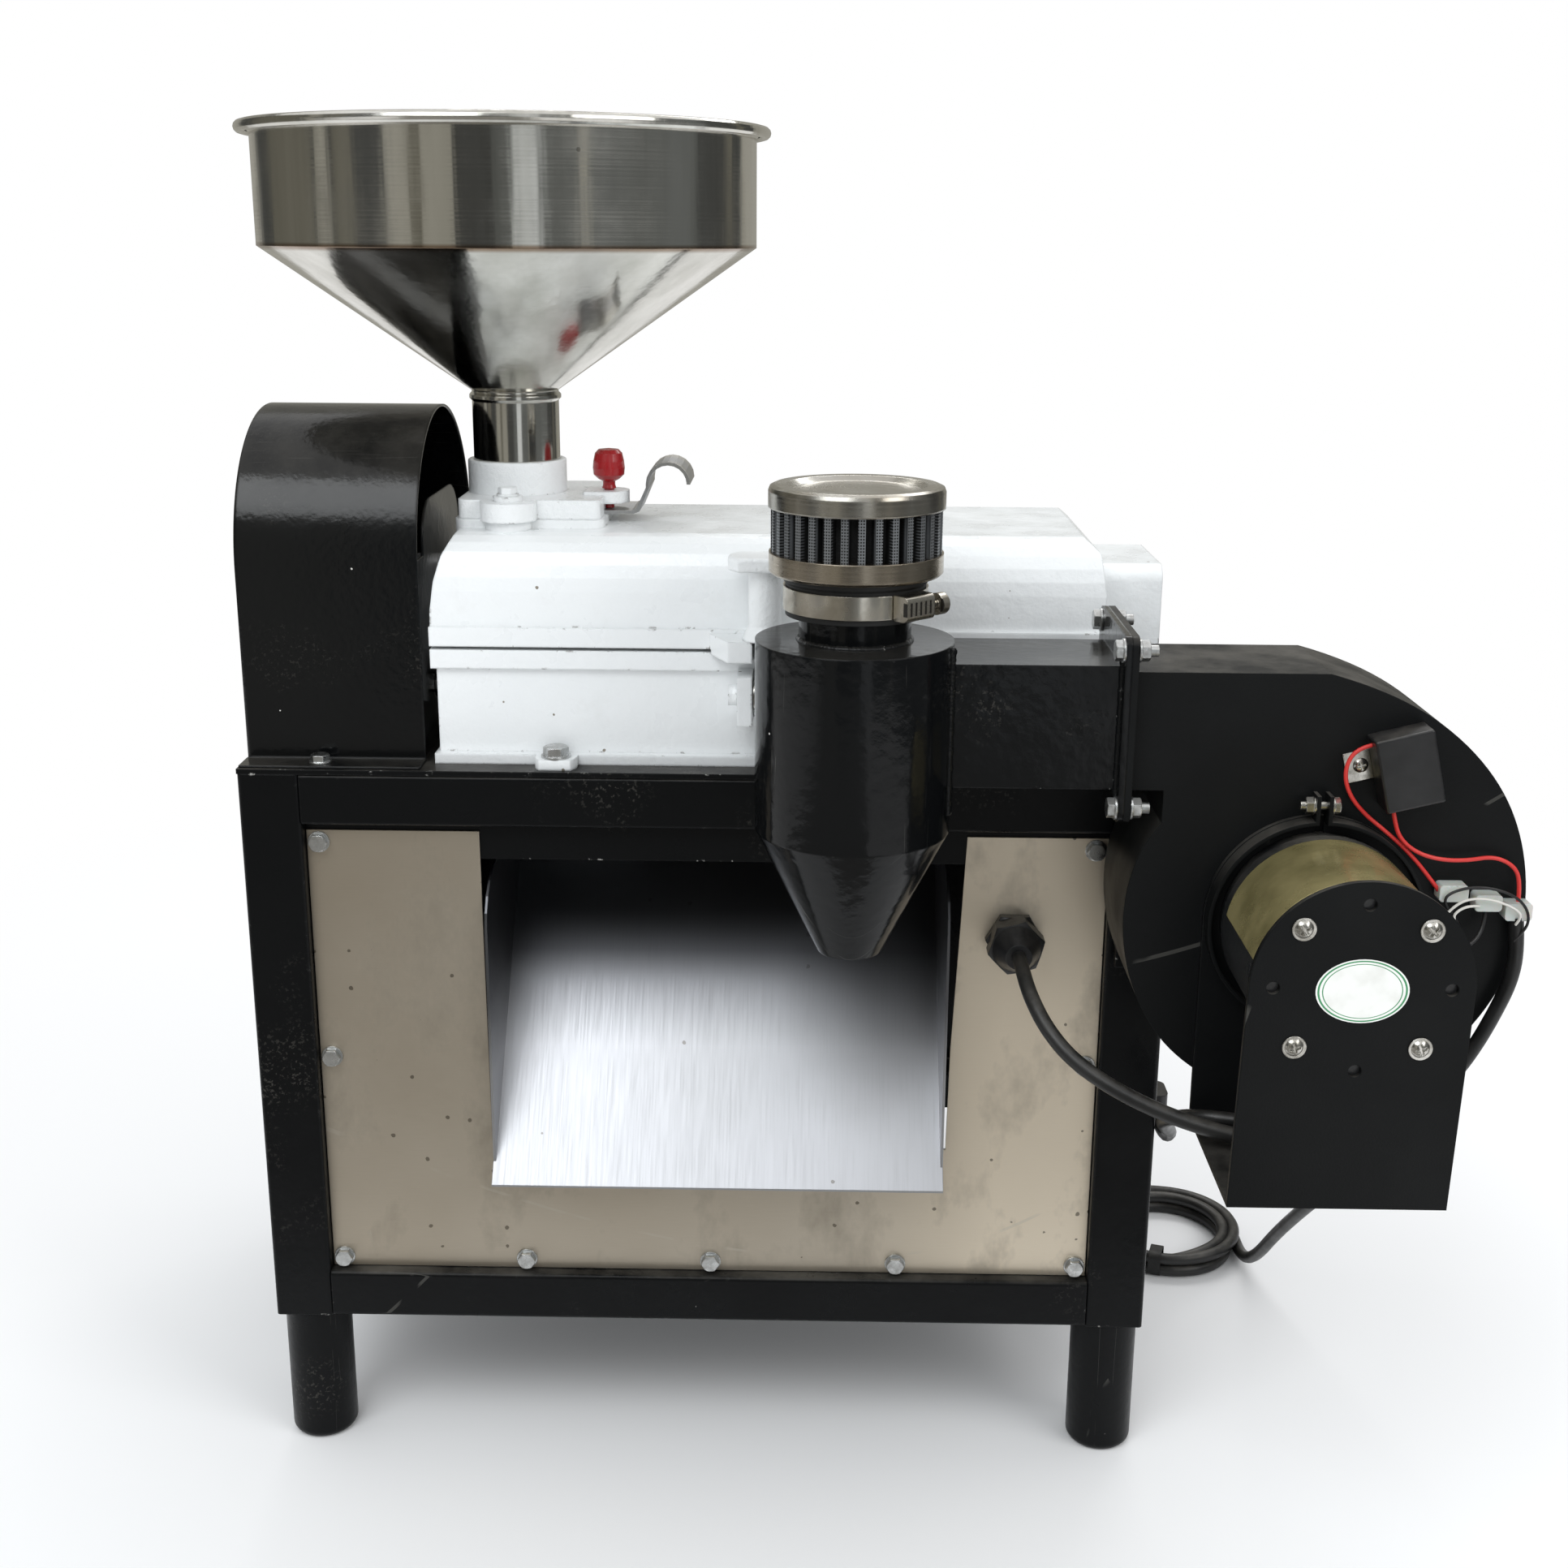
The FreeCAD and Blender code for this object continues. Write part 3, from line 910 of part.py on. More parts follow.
# Cyclone with its inlet duct, flange and neck, as one welded piece.
DUCT_Y0 = -79.0
DUCT_Y1 = CYC_Y + CYC_R
FLANGE_T = 3.5
FLANGE_X = OUTLET_X - 2 * FLANGE_T
FLANGE_Y0 = -88.0
FLANGE_Y1 = 3.0
FLANGE_Z0 = OUTLET_Z0 - 16.0
FLANGE_Z1 = OUTLET_Z1 + 16.5


def cyclone_solid(inset):
    r = CYC_R - inset
    lower = Part.makeCone(CYC_TIP_R - inset, r, CYC_MID - CYC_TIP, vec(CYC_X, CYC_Y, CYC_TIP))
    return fuse([cyl_z(CYC_X, CYC_Y, CYC_MID, CYC_TOP - inset, r), lower])


duct_outer = box(CYC_X, FLANGE_X, DUCT_Y0, DUCT_Y1, OUTLET_Z0, OUTLET_Z1)
duct_inner = box(CYC_X, FLANGE_X + 5, DUCT_Y0 + CYC_WALL, DUCT_Y1 - CYC_WALL, OUTLET_Z0 + CYC_WALL,
                 OUTLET_Z1 - CYC_WALL)
flange = box(FLANGE_X, FLANGE_X + FLANGE_T, FLANGE_Y0, FLANGE_Y1, FLANGE_Z0, FLANGE_Z1)
flange = flange.makeFillet(6.0, [e for e in flange.Edges if e.BoundBox.XLength > 3])
neck_tube = cyl_z(CYC_X, CYC_Y, CYC_TOP - CYC_WALL, NECK_TOP, NECK_R)
cyclone = fuse([cyclone_solid(0.0), duct_outer, flange, neck_tube])
cyclone = cyclone.cut([
    cyclone_solid(CYC_WALL), duct_inner,
    cyl_z(CYC_X, CYC_Y, CYC_TIP - OVER, CYC_TIP + 8, CYC_TIP_R - CYC_WALL),
    cyl_z(CYC_X, CYC_Y, CYC_TOP - 10, NECK_TOP + OVER, NECK_R - CYC_WALL),
])
flange_bolts = [(y, z) for y in (FLANGE_Y0 + 5.0, FLANGE_Y1 - 6.5)
                for z in (FLANGE_Z0 + 7.5, FLANGE_Z1 - 7.5)]
flange_holes = [cyl_x(FLANGE_X - 3, OUTLET_X + 3, y, z, M6_HOLE) for y, z in flange_bolts]
cyclone = cyclone.cut(flange_holes)
save("cyclone_body", cyclone)
pairs = [hex_bolt((FLANGE_X, y, z), (-1, 0, 0), 6.0, 17.0, grip=2 * FLANGE_T) for y, z in flange_bolts]
save("flange_bolts", pairs)

# Air filter on the cyclone's neck: rubber neck, hose clamp, base ring, pleats and cap.
NECK_WALL = 7.0
RUBBER_Z0 = CYC_TOP + 13.5
RING_Z0 = NECK_TOP + 10.0
PLEAT_Z0 = RING_Z0 + 11.0
PLEAT_Z1 = PLEAT_Z0 + 24.0
CAP_Z1 = PLEAT_Z1 + 10.0
RUBBER_R = NECK_R + NECK_WALL
rubber = revolve_z([(NECK_R + HOLE_FIT, RUBBER_Z0), (RUBBER_R, RUBBER_Z0), (RUBBER_R, RING_Z0 - 4.5),
                    (RUBBER_R + 1.5, RING_Z0 - 3.0), (RUBBER_R + 1.5, RING_Z0), (RUBBER_R + 4.0, RING_Z0),
                    (RUBBER_R + 4.0, RING_Z0 + 2), (NECK_R - 1, RING_Z0 + 2), (NECK_R - 1, NECK_TOP),
                    (NECK_R + HOLE_FIT, NECK_TOP)], CYC_X, CYC_Y)
save("filter_neck", rubber)
base_ring = revolve_z([(RUBBER_R + 4.0, RING_Z0), (43.2, RING_Z0), (44.6, RING_Z0 + 1.4), (44.6, PLEAT_Z0),
                       (NECK_R - 2.0, PLEAT_Z0), (NECK_R - 2.0, RING_Z0 + 2), (RUBBER_R + 4.0,
                                                                               RING_Z0 + 2)],
                      CYC_X, CYC_Y)
save("filter_ring", base_ring)
pleat_pts = []
PLEATS = 32
for i in range(PLEATS):
    for part, r in ((0.0, 43.6), (0.42, 43.6), (0.5, 37.0), (0.92, 37.0)):
        a = 2 * math.pi * (i + part) / PLEATS
        pleat_pts.append((CYC_X + r * math.cos(a), CYC_Y + r * math.sin(a)))
pleats = prism_z(pleat_pts, PLEAT_Z0, PLEAT_Z1).cut(cyl_z(CYC_X, CYC_Y, PLEAT_Z0 - 1, PLEAT_Z1 + 1, 30.0))
save("filter_element", pleats)
cap = revolve_z([(0, PLEAT_Z1), (43.8, PLEAT_Z1), (45.0, PLEAT_Z1 - 1.4), (45.0, CAP_Z1 - 3.0),
                 (44.2, CAP_Z1 - 1.0), (42.0, CAP_Z1),
                 (36.0, CAP_Z1), (34.0, CAP_Z1 - 1.5), (32.5, CAP_Z1 - 2.5), (12.0, CAP_Z1 - 1.6), (0,
                                                                                                    CAP_Z1 - 1.4)],
                CYC_X, CYC_Y)
cap = cap.cut(cyl_z(CYC_X, CYC_Y, PLEAT_Z1 - 5, PLEAT_Z1, 43.7))
save("filter_cap", cap)
BAND_Z0 = RUBBER_Z0 + 3.0
BAND_Z1 = BAND_Z0 + 12.0
BAND_MID = (BAND_Z0 + BAND_Z1) * 0.5
BAND_R = RUBBER_R + 1.2
band = cyl_z(CYC_X, CYC_Y, BAND_Z0, BAND_Z1, BAND_R).cut(cyl_z(CYC_X, CYC_Y, BAND_Z0 - 1, BAND_Z1 + 1,
                                                               RUBBER_R))
worm = box(-10.0, 10.0, -46.0, -36.6, BAND_Z0 - 0.5, BAND_Z1 + 0.5)
worm = worm.makeFillet(3.0, [e for e in worm.Edges if e.BoundBox.XLength > 19 and e.BoundBox.YMax < -45])
worm = fuse([worm, cyl_x(10.0, 15.0, -42.5, BAND_MID, 2.5), cyl_x(14.0, 19.0, -42.5, BAND_MID, 5.6)])
worm = worm.cut([box(18.0, 20.0, -43.2, -41.8, BAND_MID - 4.2, BAND_MID + 4.2),
                 box(18.0, 20.0, -46.7, -38.3, BAND_MID - 0.7, BAND_MID + 0.7)])
worm.rotate(vec(0, 0, 0), vec(0, 0, 1), 44.0)
worm = worm.translated(vec(CYC_X, CYC_Y, 0)).cut(cyl_z(CYC_X, CYC_Y, BAND_Z0 - 8, BAND_Z1 + 10,
                                                       RUBBER_R + 0.5))
save("hose_clamp", band.fuse(worm).removeSplitter())

# Blower housing: a spiral wall with a back plate and an outlet flange.
SPIRAL = ((148, 96.0), (163, 98.0), (184, 98.5), (207, 100.3), (224, 102.7), (247, 104.3), (270, 105.8),
          (293, 107.0),
          (317, 108.4), (340, 109.8), (357, 111.0), (376, 113.0), (394, 116.0), (412, 118.8), (426, 121.8),
          (441, 126.6), (450, 131.2))


def scroll_face(inset, y):
    """The blower's side outline, smaller by the inset."""
    pts = []
    for a, r in SPIRAL:
        rr = r - inset
        pts.append(vec(FAN_X + rr * math.cos(math.radians(a)), y, FAN_Z + rr * math.sin(math.radians(a))))
    curve = Part.BSplineCurve()
    curve.interpolate(pts)
    top = vec(OUTLET_X, y, pts[-1].z)
    low = vec(OUTLET_X, y, OUTLET_Z0 + inset)
    tongue = vec(pts[0].x, y, OUTLET_Z0 + inset)
    lines = [Part.LineSegment(a, b).toShape() for a, b in ((pts[-1], top), (top, low), (low, tongue),
                                                           (tongue, pts[0]))]
    return Part.Face(Part.Wire([curve.toShape()] + lines))


FRONT_Y1 = SCROLL_Y0 + SCROLL_T
shell = scroll_face(0.0, FRONT_Y1).extrude(vec(0, SCROLL_Y1 - FRONT_Y1, 0))
space = scroll_face(SCROLL_T, FRONT_Y1 - 1).extrude(vec(0, SCROLL_Y1 - SCROLL_T - FRONT_Y1 + 1, 0))
mouth_space = box(OUTLET_X - 10, OUTLET_X + 5, FRONT_Y1 - 1, SCROLL_Y1 - SCROLL_T, OUTLET_Z0 + SCROLL_T,
                  OUTLET_Z1 - 4.5)
out_flange = box(OUTLET_X - FLANGE_T, OUTLET_X, FLANGE_Y0, FLANGE_Y1, FLANGE_Z0, FLANGE_Z1)
out_flange = out_flange.makeFillet(6.0, [e for e in out_flange.Edges if e.BoundBox.XLength > 3])
shell = fuse([shell, out_flange]).cut([space, mouth_space])
shell = shell.cut(
    [cyl_y(FAN_X, SCROLL_Y1 - 5, SCROLL_Y1 + 1, FAN_Z, INLET_R)] + flange_holes)
mount_bolts = [(FAN_X + MOUNT_BOLT_R * math.cos(math.radians(a)),
                FAN_Z + MOUNT_BOLT_R * math.sin(math.radians(a)))
               for a in (45, 135, 225, 315)]
mount_holes = [cyl_y(x, SCROLL_Y1 - 5, 5.0, z, M6_HOLE) for x, z in mount_bolts]
shell = shell.cut(mount_holes)
save("blower_housing", shell)
front_plate = scroll_face(0.0, SCROLL_Y0).extrude(vec(0, SCROLL_T, 0))
cap_screw = (FAN_X + 18.4, FAN_Z + 83.7)
front_plate = front_plate.cut([cyl_y(FAN_X, SCROLL_Y0 - 1, FRONT_Y1 + 1, FAN_Z, 16.0),
                               cyl_y(cap_screw[0], SCROLL_Y0 - 1, FRONT_Y1 + 1, cap_screw[1],
                                     2.0 + HOLE_FIT)])
save("blower_front_plate", front_plate)

# Blower mount on the stand's right front post, and the suction box behind it.
ARM_X0 = STAND_W - 31.0
ARM_X1 = STAND_W - 3.0
mount = fuse([
    box(ARM_X0, FAN_X + 58, SCROLL_Y1, SCROLL_Y1 + MOUNT_T, FAN_Z - 58, FAN_Z + 58),
    box(ARM_X0, ARM_X1, SCROLL_Y1 + MOUNT_T - OVER, 0.0, FAN_Z - 52, FAN_Z - 32),
    box(ARM_X0, ARM_X1, SCROLL_Y1 + MOUNT_T - OVER, 0.0, FAN_Z + 12, FAN_Z + 32),
])
mount = mount.cut([cyl_y(FAN_X, -20.0, 0.0, FAN_Z, INLET_R)] + mount_holes)
save("blower_mount", mount)
BOX_X1 = FAN_X + 53.0
BOX_Z0 = FAN_Z - 57.5
BOX_Z1 = FAN_Z + 46.5
BOX_Y0 = SCROLL_Y1 + MOUNT_T
BOX_Y1 = AIR_Y1 + 6.0
BOX_T = 2.0
duct_box = fuse([
    box(right + 0.5, BOX_X1, BOX_Y0, BOX_Y1, BOX_Z0, BOX_Z1),
    box(right - PANEL_RECESS, right + 1.0, AIR_Y0 - BOX_T, AIR_Y1 + BOX_T, AIR_Z0 - BOX_T, AIR_Z1 + BOX_T),
])
duct_box = duct_box.cut([
    box(right + 0.5 + BOX_T, BOX_X1 - BOX_T, BOX_Y0 + BOX_T, BOX_Y1 - BOX_T, BOX_Z0 + BOX_T,
        BOX_Z1 - BOX_T),
    box(right - 20, right + 5, AIR_Y0, AIR_Y1, AIR_Z0, AIR_Z1),
    cyl_y(FAN_X, SCROLL_Y1, 5.0, FAN_Z, INLET_R),
])
duct_box = duct_box.cut([cyl_y(x, SCROLL_Y1, 12.0, z, 9.0) for x, z in mount_bolts])
save("suction_box", duct_box)

# Impeller with forward-curved blades on the blower's shaft.
DISC_Y0 = -73.0
DISC_T = 1.5
BLADE_Y1 = -26.0
disc = cyl_y(FAN_X, DISC_Y0, DISC_Y0 + DISC_T, FAN_Z, FAN_R)
fan_hub = cyl_y(FAN_X, DISC_Y0, -52.0, FAN_Z, 13.0)
rim_ring = cyl_y(FAN_X, BLADE_Y1, BLADE_Y1 + 2.0, FAN_Z, FAN_R).cut(cyl_y(FAN_X, BLADE_Y1 - 1, BLADE_Y1 + 3,
                                                                          FAN_Z, 62.0))
vanes = []
for i in range(20):
    vane = [(60.0, 0.0), (68.0, 3.2), (75.0, 9.0), (79.0, 16.5), (78.0, 17.2), (73.8, 10.2), (67.2, 4.8),
            (60.0, 1.6)]
    a = math.radians(18.0 * i)
    turned = [(FAN_X + x * math.cos(a) - z * math.sin(a), FAN_Z + x * math.sin(a) + z * math.cos(a)) for x,
              z in vane]
    vanes.append(prism_y(turned, DISC_Y0 + DISC_T - 0.2, BLADE_Y1 + 0.2))
wheel = fuse([disc, fan_hub, rim_ring] + vanes).cut(cyl_y(FAN_X, DISC_Y0 - 5, -40.0, FAN_Z, FAN_SHAFT_R))
save("impeller", wheel)
save("blower_shaft", cyl_y(FAN_X, -150.0, -50.0, FAN_Z, FAN_SHAFT_R))

# Blower motor, its split clamp ring, the U bracket that carries it and the bracket's screws.
screw_pts = [(FAN_X + sx * 30.2, FAN_Z + sz * 30.2) for sx in (-1, 1) for sz in (-1, 1)]
fan_motor = fuse([
    cyl_y(FAN_X, FAN_MOTOR_Y, SCROLL_Y0, FAN_Z, FAN_MOTOR_R - 1.5),
    cyl_y(FAN_X, FAN_MOTOR_Y + 8, SCROLL_Y0 - 14, FAN_Z, FAN_MOTOR_R),
])
fan_motor = fan_motor.cut([cyl_y(FAN_X, -151.0, SCROLL_Y0 + 1, FAN_Z, FAN_SHAFT_R + HOLE_FIT)]
                          + [cyl_y(x, FAN_MOTOR_Y - 1, FAN_MOTOR_Y + 14, z, M5_HOLE) for x, z in screw_pts])
save("blower_motor", fan_motor)
RING_Y0 = SCROLL_Y0 - 13.0
RING_Y1 = SCROLL_Y0 - BRACKET_T
RING_BOLT_Y = RING_Y0 + 5.0
RING_BOLT_H = 64.0
clamp_ring = cyl_y(FAN_X, RING_Y0, RING_Y1, FAN_Z, 56.5).cut(cyl_y(FAN_X, RING_Y0 - 1, RING_Y1 - 2.0, FAN_Z,
                                                                   54.5))
clamp_ring = clamp_ring.cut(cyl_y(FAN_X, RING_Y0 - 1, RING_Y1 + 1, FAN_Z, FAN_MOTOR_R - 1.5))
ears = [box(FAN_X - 5.2, FAN_X - 3.2, RING_Y0, RING_Y1, FAN_Z + 55, FAN_Z + 70),
        box(FAN_X + 1.2, FAN_X + 3.2, RING_Y0, RING_Y1, FAN_Z + 55, FAN_Z + 70)]
clamp_ring = fuse([clamp_ring] + ears).cut([box(FAN_X - 3.2, FAN_X + 1.2, RING_Y0 - 1, RING_Y1 + 1,
                                                FAN_Z + 40, FAN_Z + 75),
                                cyl_x(FAN_X - 10, FAN_X + 10, RING_BOLT_Y, FAN_Z + RING_BOLT_H, M5_HOLE)])
save("motor_clamp_ring", clamp_ring)
bx0 = FAN_X - BRACKET_R
bx1 = FAN_X + BRACKET_R
front_leaf = fuse([cyl_y(FAN_X, FAN_MOTOR_Y - BRACKET_T, FAN_MOTOR_Y, FAN_Z, BRACKET_R),
                   prism_y([(bx0, FAN_Z), (bx0 - 2.5, FOOT_Z), (bx1 - 2.5, FOOT_Z), (bx1, FAN_Z)],
                           FAN_MOTOR_Y - BRACKET_T, FAN_MOTOR_Y)])
foot_leaf = box(bx0 - 2.5, bx1 - 2.5, FAN_MOTOR_Y - BRACKET_T, SCROLL_Y0, FOOT_Z, FOOT_Z + BRACKET_T)
rear_leaf = fuse([cyl_y(FAN_X, SCROLL_Y0 - BRACKET_T, SCROLL_Y0, FAN_Z, BRACKET_R + 3.0),
                  prism_y([(bx0 - 3, FAN_Z), (bx0 - 2.5, FOOT_Z), (bx1 - 2.5, FOOT_Z), (bx1 + 3, FAN_Z)],
                          SCROLL_Y0 - BRACKET_T, SCROLL_Y0)])
rear_leaf = rear_leaf.cut(cyl_y(FAN_X, SCROLL_Y0 - 10, SCROLL_Y0 + 1, FAN_Z, FAN_MOTOR_R - 1.5))
bracket = fuse([front_leaf, foot_leaf, rear_leaf])
small_holes = [(FAN_X, FAN_Z + 42.5), (FAN_X, FAN_Z - 42.5), (FAN_X - 42.5, FAN_Z), (FAN_X + 42.5, FAN_Z)]
bracket = bracket.cut([cyl_y(x, FAN_MOTOR_Y - 5, FAN_MOTOR_Y + 1, z, M5_HOLE) for x, z in screw_pts]
                      + [cyl_y(x, FAN_MOTOR_Y - 5, FAN_MOTOR_Y + 1, z, 3.2) for x, z in small_holes])
save("motor_bracket", bracket)
turns = (12.0, 35.0, 20.0, 48.0)
bracket_screws = [pan_screw((x, FAN_MOTOR_Y - BRACKET_T, z), (0, -1, 0), 5.0, 14.0, turns[i])
                  for i, (x, z) in enumerate(screw_pts)]
big_heads = []
for x, z in screw_pts:
    washer = cyl_y(x, FAN_MOTOR_Y - BRACKET_T - 0.8, FAN_MOTOR_Y - BRACKET_T, z, 5.8)
    big_heads.append(washer.cut(cyl_y(x, -200.0, -170.0, z, 2.4)))
bracket_screws = [fuse([s, w]) for s, w in zip(bracket_screws, big_heads)]
save("bracket_screws", bracket_screws)

# Run capacitor, leaning on the blower's face, with its fixing tab.
CAP_X = FAN_X + 39.5
CAP_Z = FAN_Z + 84.5
CAP_LEAN = 14.0
case = Part.makeBox(30.0, 17.0, 39.0, vec(-15.0, SCROLL_Y0 - 17.0, -19.5))
case = case.makeFillet(1.2, [e for e in case.Edges if e.BoundBox.YMin < SCROLL_Y0 - 16])
case.rotate(vec(0, 0, 0), vec(0, 1, 0), -CAP_LEAN)
case = case.translated(vec(CAP_X, 0, CAP_Z))
tab = Part.makeBox(18.0, 1.2, 16.0, vec(-8.5, SCROLL_Y0 - 1.2, -8.0))
tab.rotate(vec(0, 0, 0), vec(0, 1, 0), -CAP_LEAN)
tab = tab.translated(vec(cap_screw[0] + 0.5, 0, cap_screw[1]))
tab = tab.cut([case, cyl_y(cap_screw[0], -90.0, -70.0, cap_screw[1], 2.0 + HOLE_FIT)])
save("capacitor", case)
save("capacitor_tab", tab)
ring_bolt = hex_bolt((FAN_X + 3.2, RING_BOLT_Y, FAN_Z + RING_BOLT_H), (1, 0, 0), 5.0, 16.0, grip=8.4)
tab_screw = pan_screw((cap_screw[0], SCROLL_Y0 - 1.2, cap_screw[1]), (0, -1, 0), 4.0, 8.0, 20.0)
housing_screws = [hex_bolt((x, SCROLL_Y1 - SCROLL_T, z), (0, -1, 0), 6.0, MOUNT_T + SCROLL_T) for x,
                  z in mount_bolts]
save("blower_screws", [ring_bolt, tab_screw] + housing_screws)

# Bolts of the stand, the guard, the motor and the mill.
m6 = [hex_bolt((x, PANEL_RECESS, z), (0, -1, 0), 6.0, 12.0) for x, z in front_bolts]
m6 += [hex_bolt((x, back_y1 + PANEL_T, z), (0, 1, 0), 6.0, 12.0) for x, z in back_bolts]
m6 += [hex_bolt((PANEL_RECESS, y, z), (-1, 0, 0), 6.0, 12.0) for y, z in side_bolts]
m6 += [hex_bolt((right - PANEL_RECESS, y, z), (1, 0, 0), 6.0, 12.0) for y, z in side_bolts]
m6 += [hex_bolt((x, y, TABLE_Z + GUARD_T), (0, 0, 1), 6.0, 8.0) for x, y in guard_bolts]
m6 += [hex_bolt((left_end - 3, y, z), (-1, 0, 0), 6.0, 16.0) for y, z in house_bolts]
m6 += [hex_bolt((RIGHT_HOUSE_X1, y, z), (1, 0, 0), 6.0, 44.0) for y, z in house_bolts]
save("m6_bolts", m6)
m8 = [hex_bolt((x, y, TABLE_Z + FOOT_T), (0, 0, 1), 8.0, 14.0) for x, y in mill_bolts]
m8 += [hex_bolt((x, y, BAR_TOP + 10), (0, 0, 1), 8.0, 26.0, grip=16.0) for x, y in motor_bolts]
save("m8_bolts", m8)


def route_tube(points, r, name):
    """A round tube along straight runs joined by arcs as large as the runs allow."""
    pts = [vec(*p) for p in points]
    runs = [(pts[i + 1] - pts[i]).Length for i in range(len(pts) - 1)]
    path = []
    start = pts[0]
    radii = []
    length = 0.0
    for i in range(1, len(pts) - 1):
        a = (pts[i] - pts[i - 1]).normalize()
        b = (pts[i + 1] - pts[i]).normalize()
        turn = a.getAngle(b)
        t = 0.45 * min(runs[i - 1], runs[i])
        bend = t / math.tan(turn * 0.5)
        radii.append(round(bend, 1))
        p_in = pts[i] - a * t
        p_out = pts[i] + b * t
        centre_line = (b - a).normalize()
        mid = pts[i] + centre_line * (bend / math.cos(turn * 0.5) - bend)
        path.append(Part.LineSegment(start, p_in).toShape())
        path.append(Part.Arc(p_in, mid, p_out).toShape())
        length += (p_in - start).Length + bend * turn
        start = p_out
    path.append(Part.LineSegment(start, pts[-1]).toShape())
    length += (pts[-1] - start).Length
    first = (pts[1] - pts[0]).normalize()
    ring = Part.Wire(Part.makeCircle(r, pts[0], first))
    tube = Part.Wire(path).makePipeShell([ring], True, False)
    print(name, "radii", radii, "runs", [round(v, 1) for v in runs], "length", round(length, 1),
          "volume ratio", round(tube.Volume / (math.pi * r * r * length), 4))
    return tube


# Cable gland in the front panel, and the elbow where the blower's lead enters the side panel.
GLAND_NOSE_Y = -23.0
gland = fuse([
    place(hexagon(29.0, 0.0, 6.0), (GLAND_X, PANEL_RECESS, GLAND_Z), (0, -1, 0)),
    cyl_y(GLAND_X, 0.0, PANEL_RECESS + 14, GLAND_Z, GLAND_THREAD_R),
    place(hexagon(29.0, 0.0, 12.0), (GLAND_X, 2.0, GLAND_Z), (0, -1, 0), 14.0),
    Part.makeCone(14.0, 7.5, 13.0, vec(GLAND_X, -10.0, GLAND_Z), vec(0, -1, 0)),
    place(hexagon(28.0, 0.0, 4.0), (GLAND_X, strip_y0, GLAND_Z), (0, 1, 0)),
])
ELBOW = (STAND_W + 10.0, 58.0, FAN_Z - 180.5)
side_x = right - PANEL_RECESS
elbow = box(side_x, ELBOW[0] + 9, ELBOW[1], ELBOW[1] + 22, ELBOW[2] - 10, ELBOW[2] + 10)
elbow = elbow.makeFillet(5.0,
                         [e for e in elbow.Edges if e.BoundBox.ZLength > 15 and e.BoundBox.XMin > ELBOW[0]])
elbow = fuse([elbow, cyl_x(side_x, side_x + 3, ELBOW[1] + 11, ELBOW[2], 16.0)])
save("cable_gland", [gland, elbow])

# Mains cord: out of the gland, over the bracket's foot, down behind the blower and into its coil.
COIL_X = 596.0
COIL_Y = 262.0
COIL_R = 47.0
COIL_HALF = 2 * CORD_R
COIL_TOP = 4 * CORD_R
COIL_ROUND = 1.5
coil_in = COIL_R - COIL_HALF
coil_out = COIL_R + COIL_HALF
coil_side = [(coil_in, COIL_ROUND), (coil_in + COIL_ROUND, 0.0), (coil_out - COIL_ROUND, 0.0),
             (coil_out, COIL_ROUND)]
coil_lid = [(r, COIL_TOP - z) for r, z in reversed(coil_side)]
coil = revolve_z(coil_side + coil_lid, COIL_X, COIL_Y)
cord_route = [
    (443.5, -23.0, 340.0), (443.5, -43.0, 340.0), (445.5, -63.0, 334.0), (453.0, -80.0, 322.0),
    (466.0, -93.0, 309.5), (488.0, -105.0, 298.0), (514.0, -115.0, 289.0), (542.0, -124.0, 283.5),
    (572.0, -129.0, 280.0), (602.0, -129.5, 280.5), (630.0, -122.0, 284.0), (652.0, -104.0, 281.0),
    (666.0, -78.0, 266.0), (669.0, -46.0, 243.0), (665.0, -10.0, 214.0), (657.0, 28.0, 180.0),
    (651.0, 66.0, 145.0), (648.0, 106.0, 108.0), (646.8, 146.0, 71.0), (646.9, 182.0, 36.0),
    (647.0, 212.0, 14.0), (647.15, 238.0, 5.2), (647.25, 258.0, 4.3),
]
save("mains_cord", route_tube(cord_route, CORD_R, "mains_cord").cut(coil))
save("cord_coil", coil)

# Plug, lying on the coil with its strain relief towards the cord's last turn.
PLUG_X = COIL_X - 44.0
PLUG_Y1 = COIL_Y - 4.0
PLUG_L = 40.0
PLUG_HALF_W = 14.0
PLUG_T = 20.0
RELIEF_L = 26.0
PIN_REACH = 16.0
PIN_PITCH = 13.0
plug_body = box(PLUG_X - PLUG_HALF_W, PLUG_X + PLUG_HALF_W, PLUG_Y1 - PLUG_L, PLUG_Y1, COIL_TOP,
                COIL_TOP + PLUG_T)
plug_body = plug_body.makeFillet(5.0, [e for e in plug_body.Edges
                                       if e.BoundBox.YLength > PLUG_L - 2 or e.BoundBox.ZLength > PLUG_T - 2])
relief = Part.makeCone(6.5, 5.0, RELIEF_L, vec(PLUG_X, PLUG_Y1 - 4.0, COIL_TOP + 9), vec(0, 1, -0.22))
blades = [box(PLUG_X + x - 2.1, PLUG_X + x + 2.1, PLUG_Y1 - PLUG_L - PIN_REACH, PLUG_Y1 - PLUG_L + OVER,
              COIL_TOP + 8, COIL_TOP + 9.6) for x in (-PIN_PITCH * 0.5, PIN_PITCH * 0.5)]
save("plug", fuse([plug_body, relief] + blades).cut(coil))

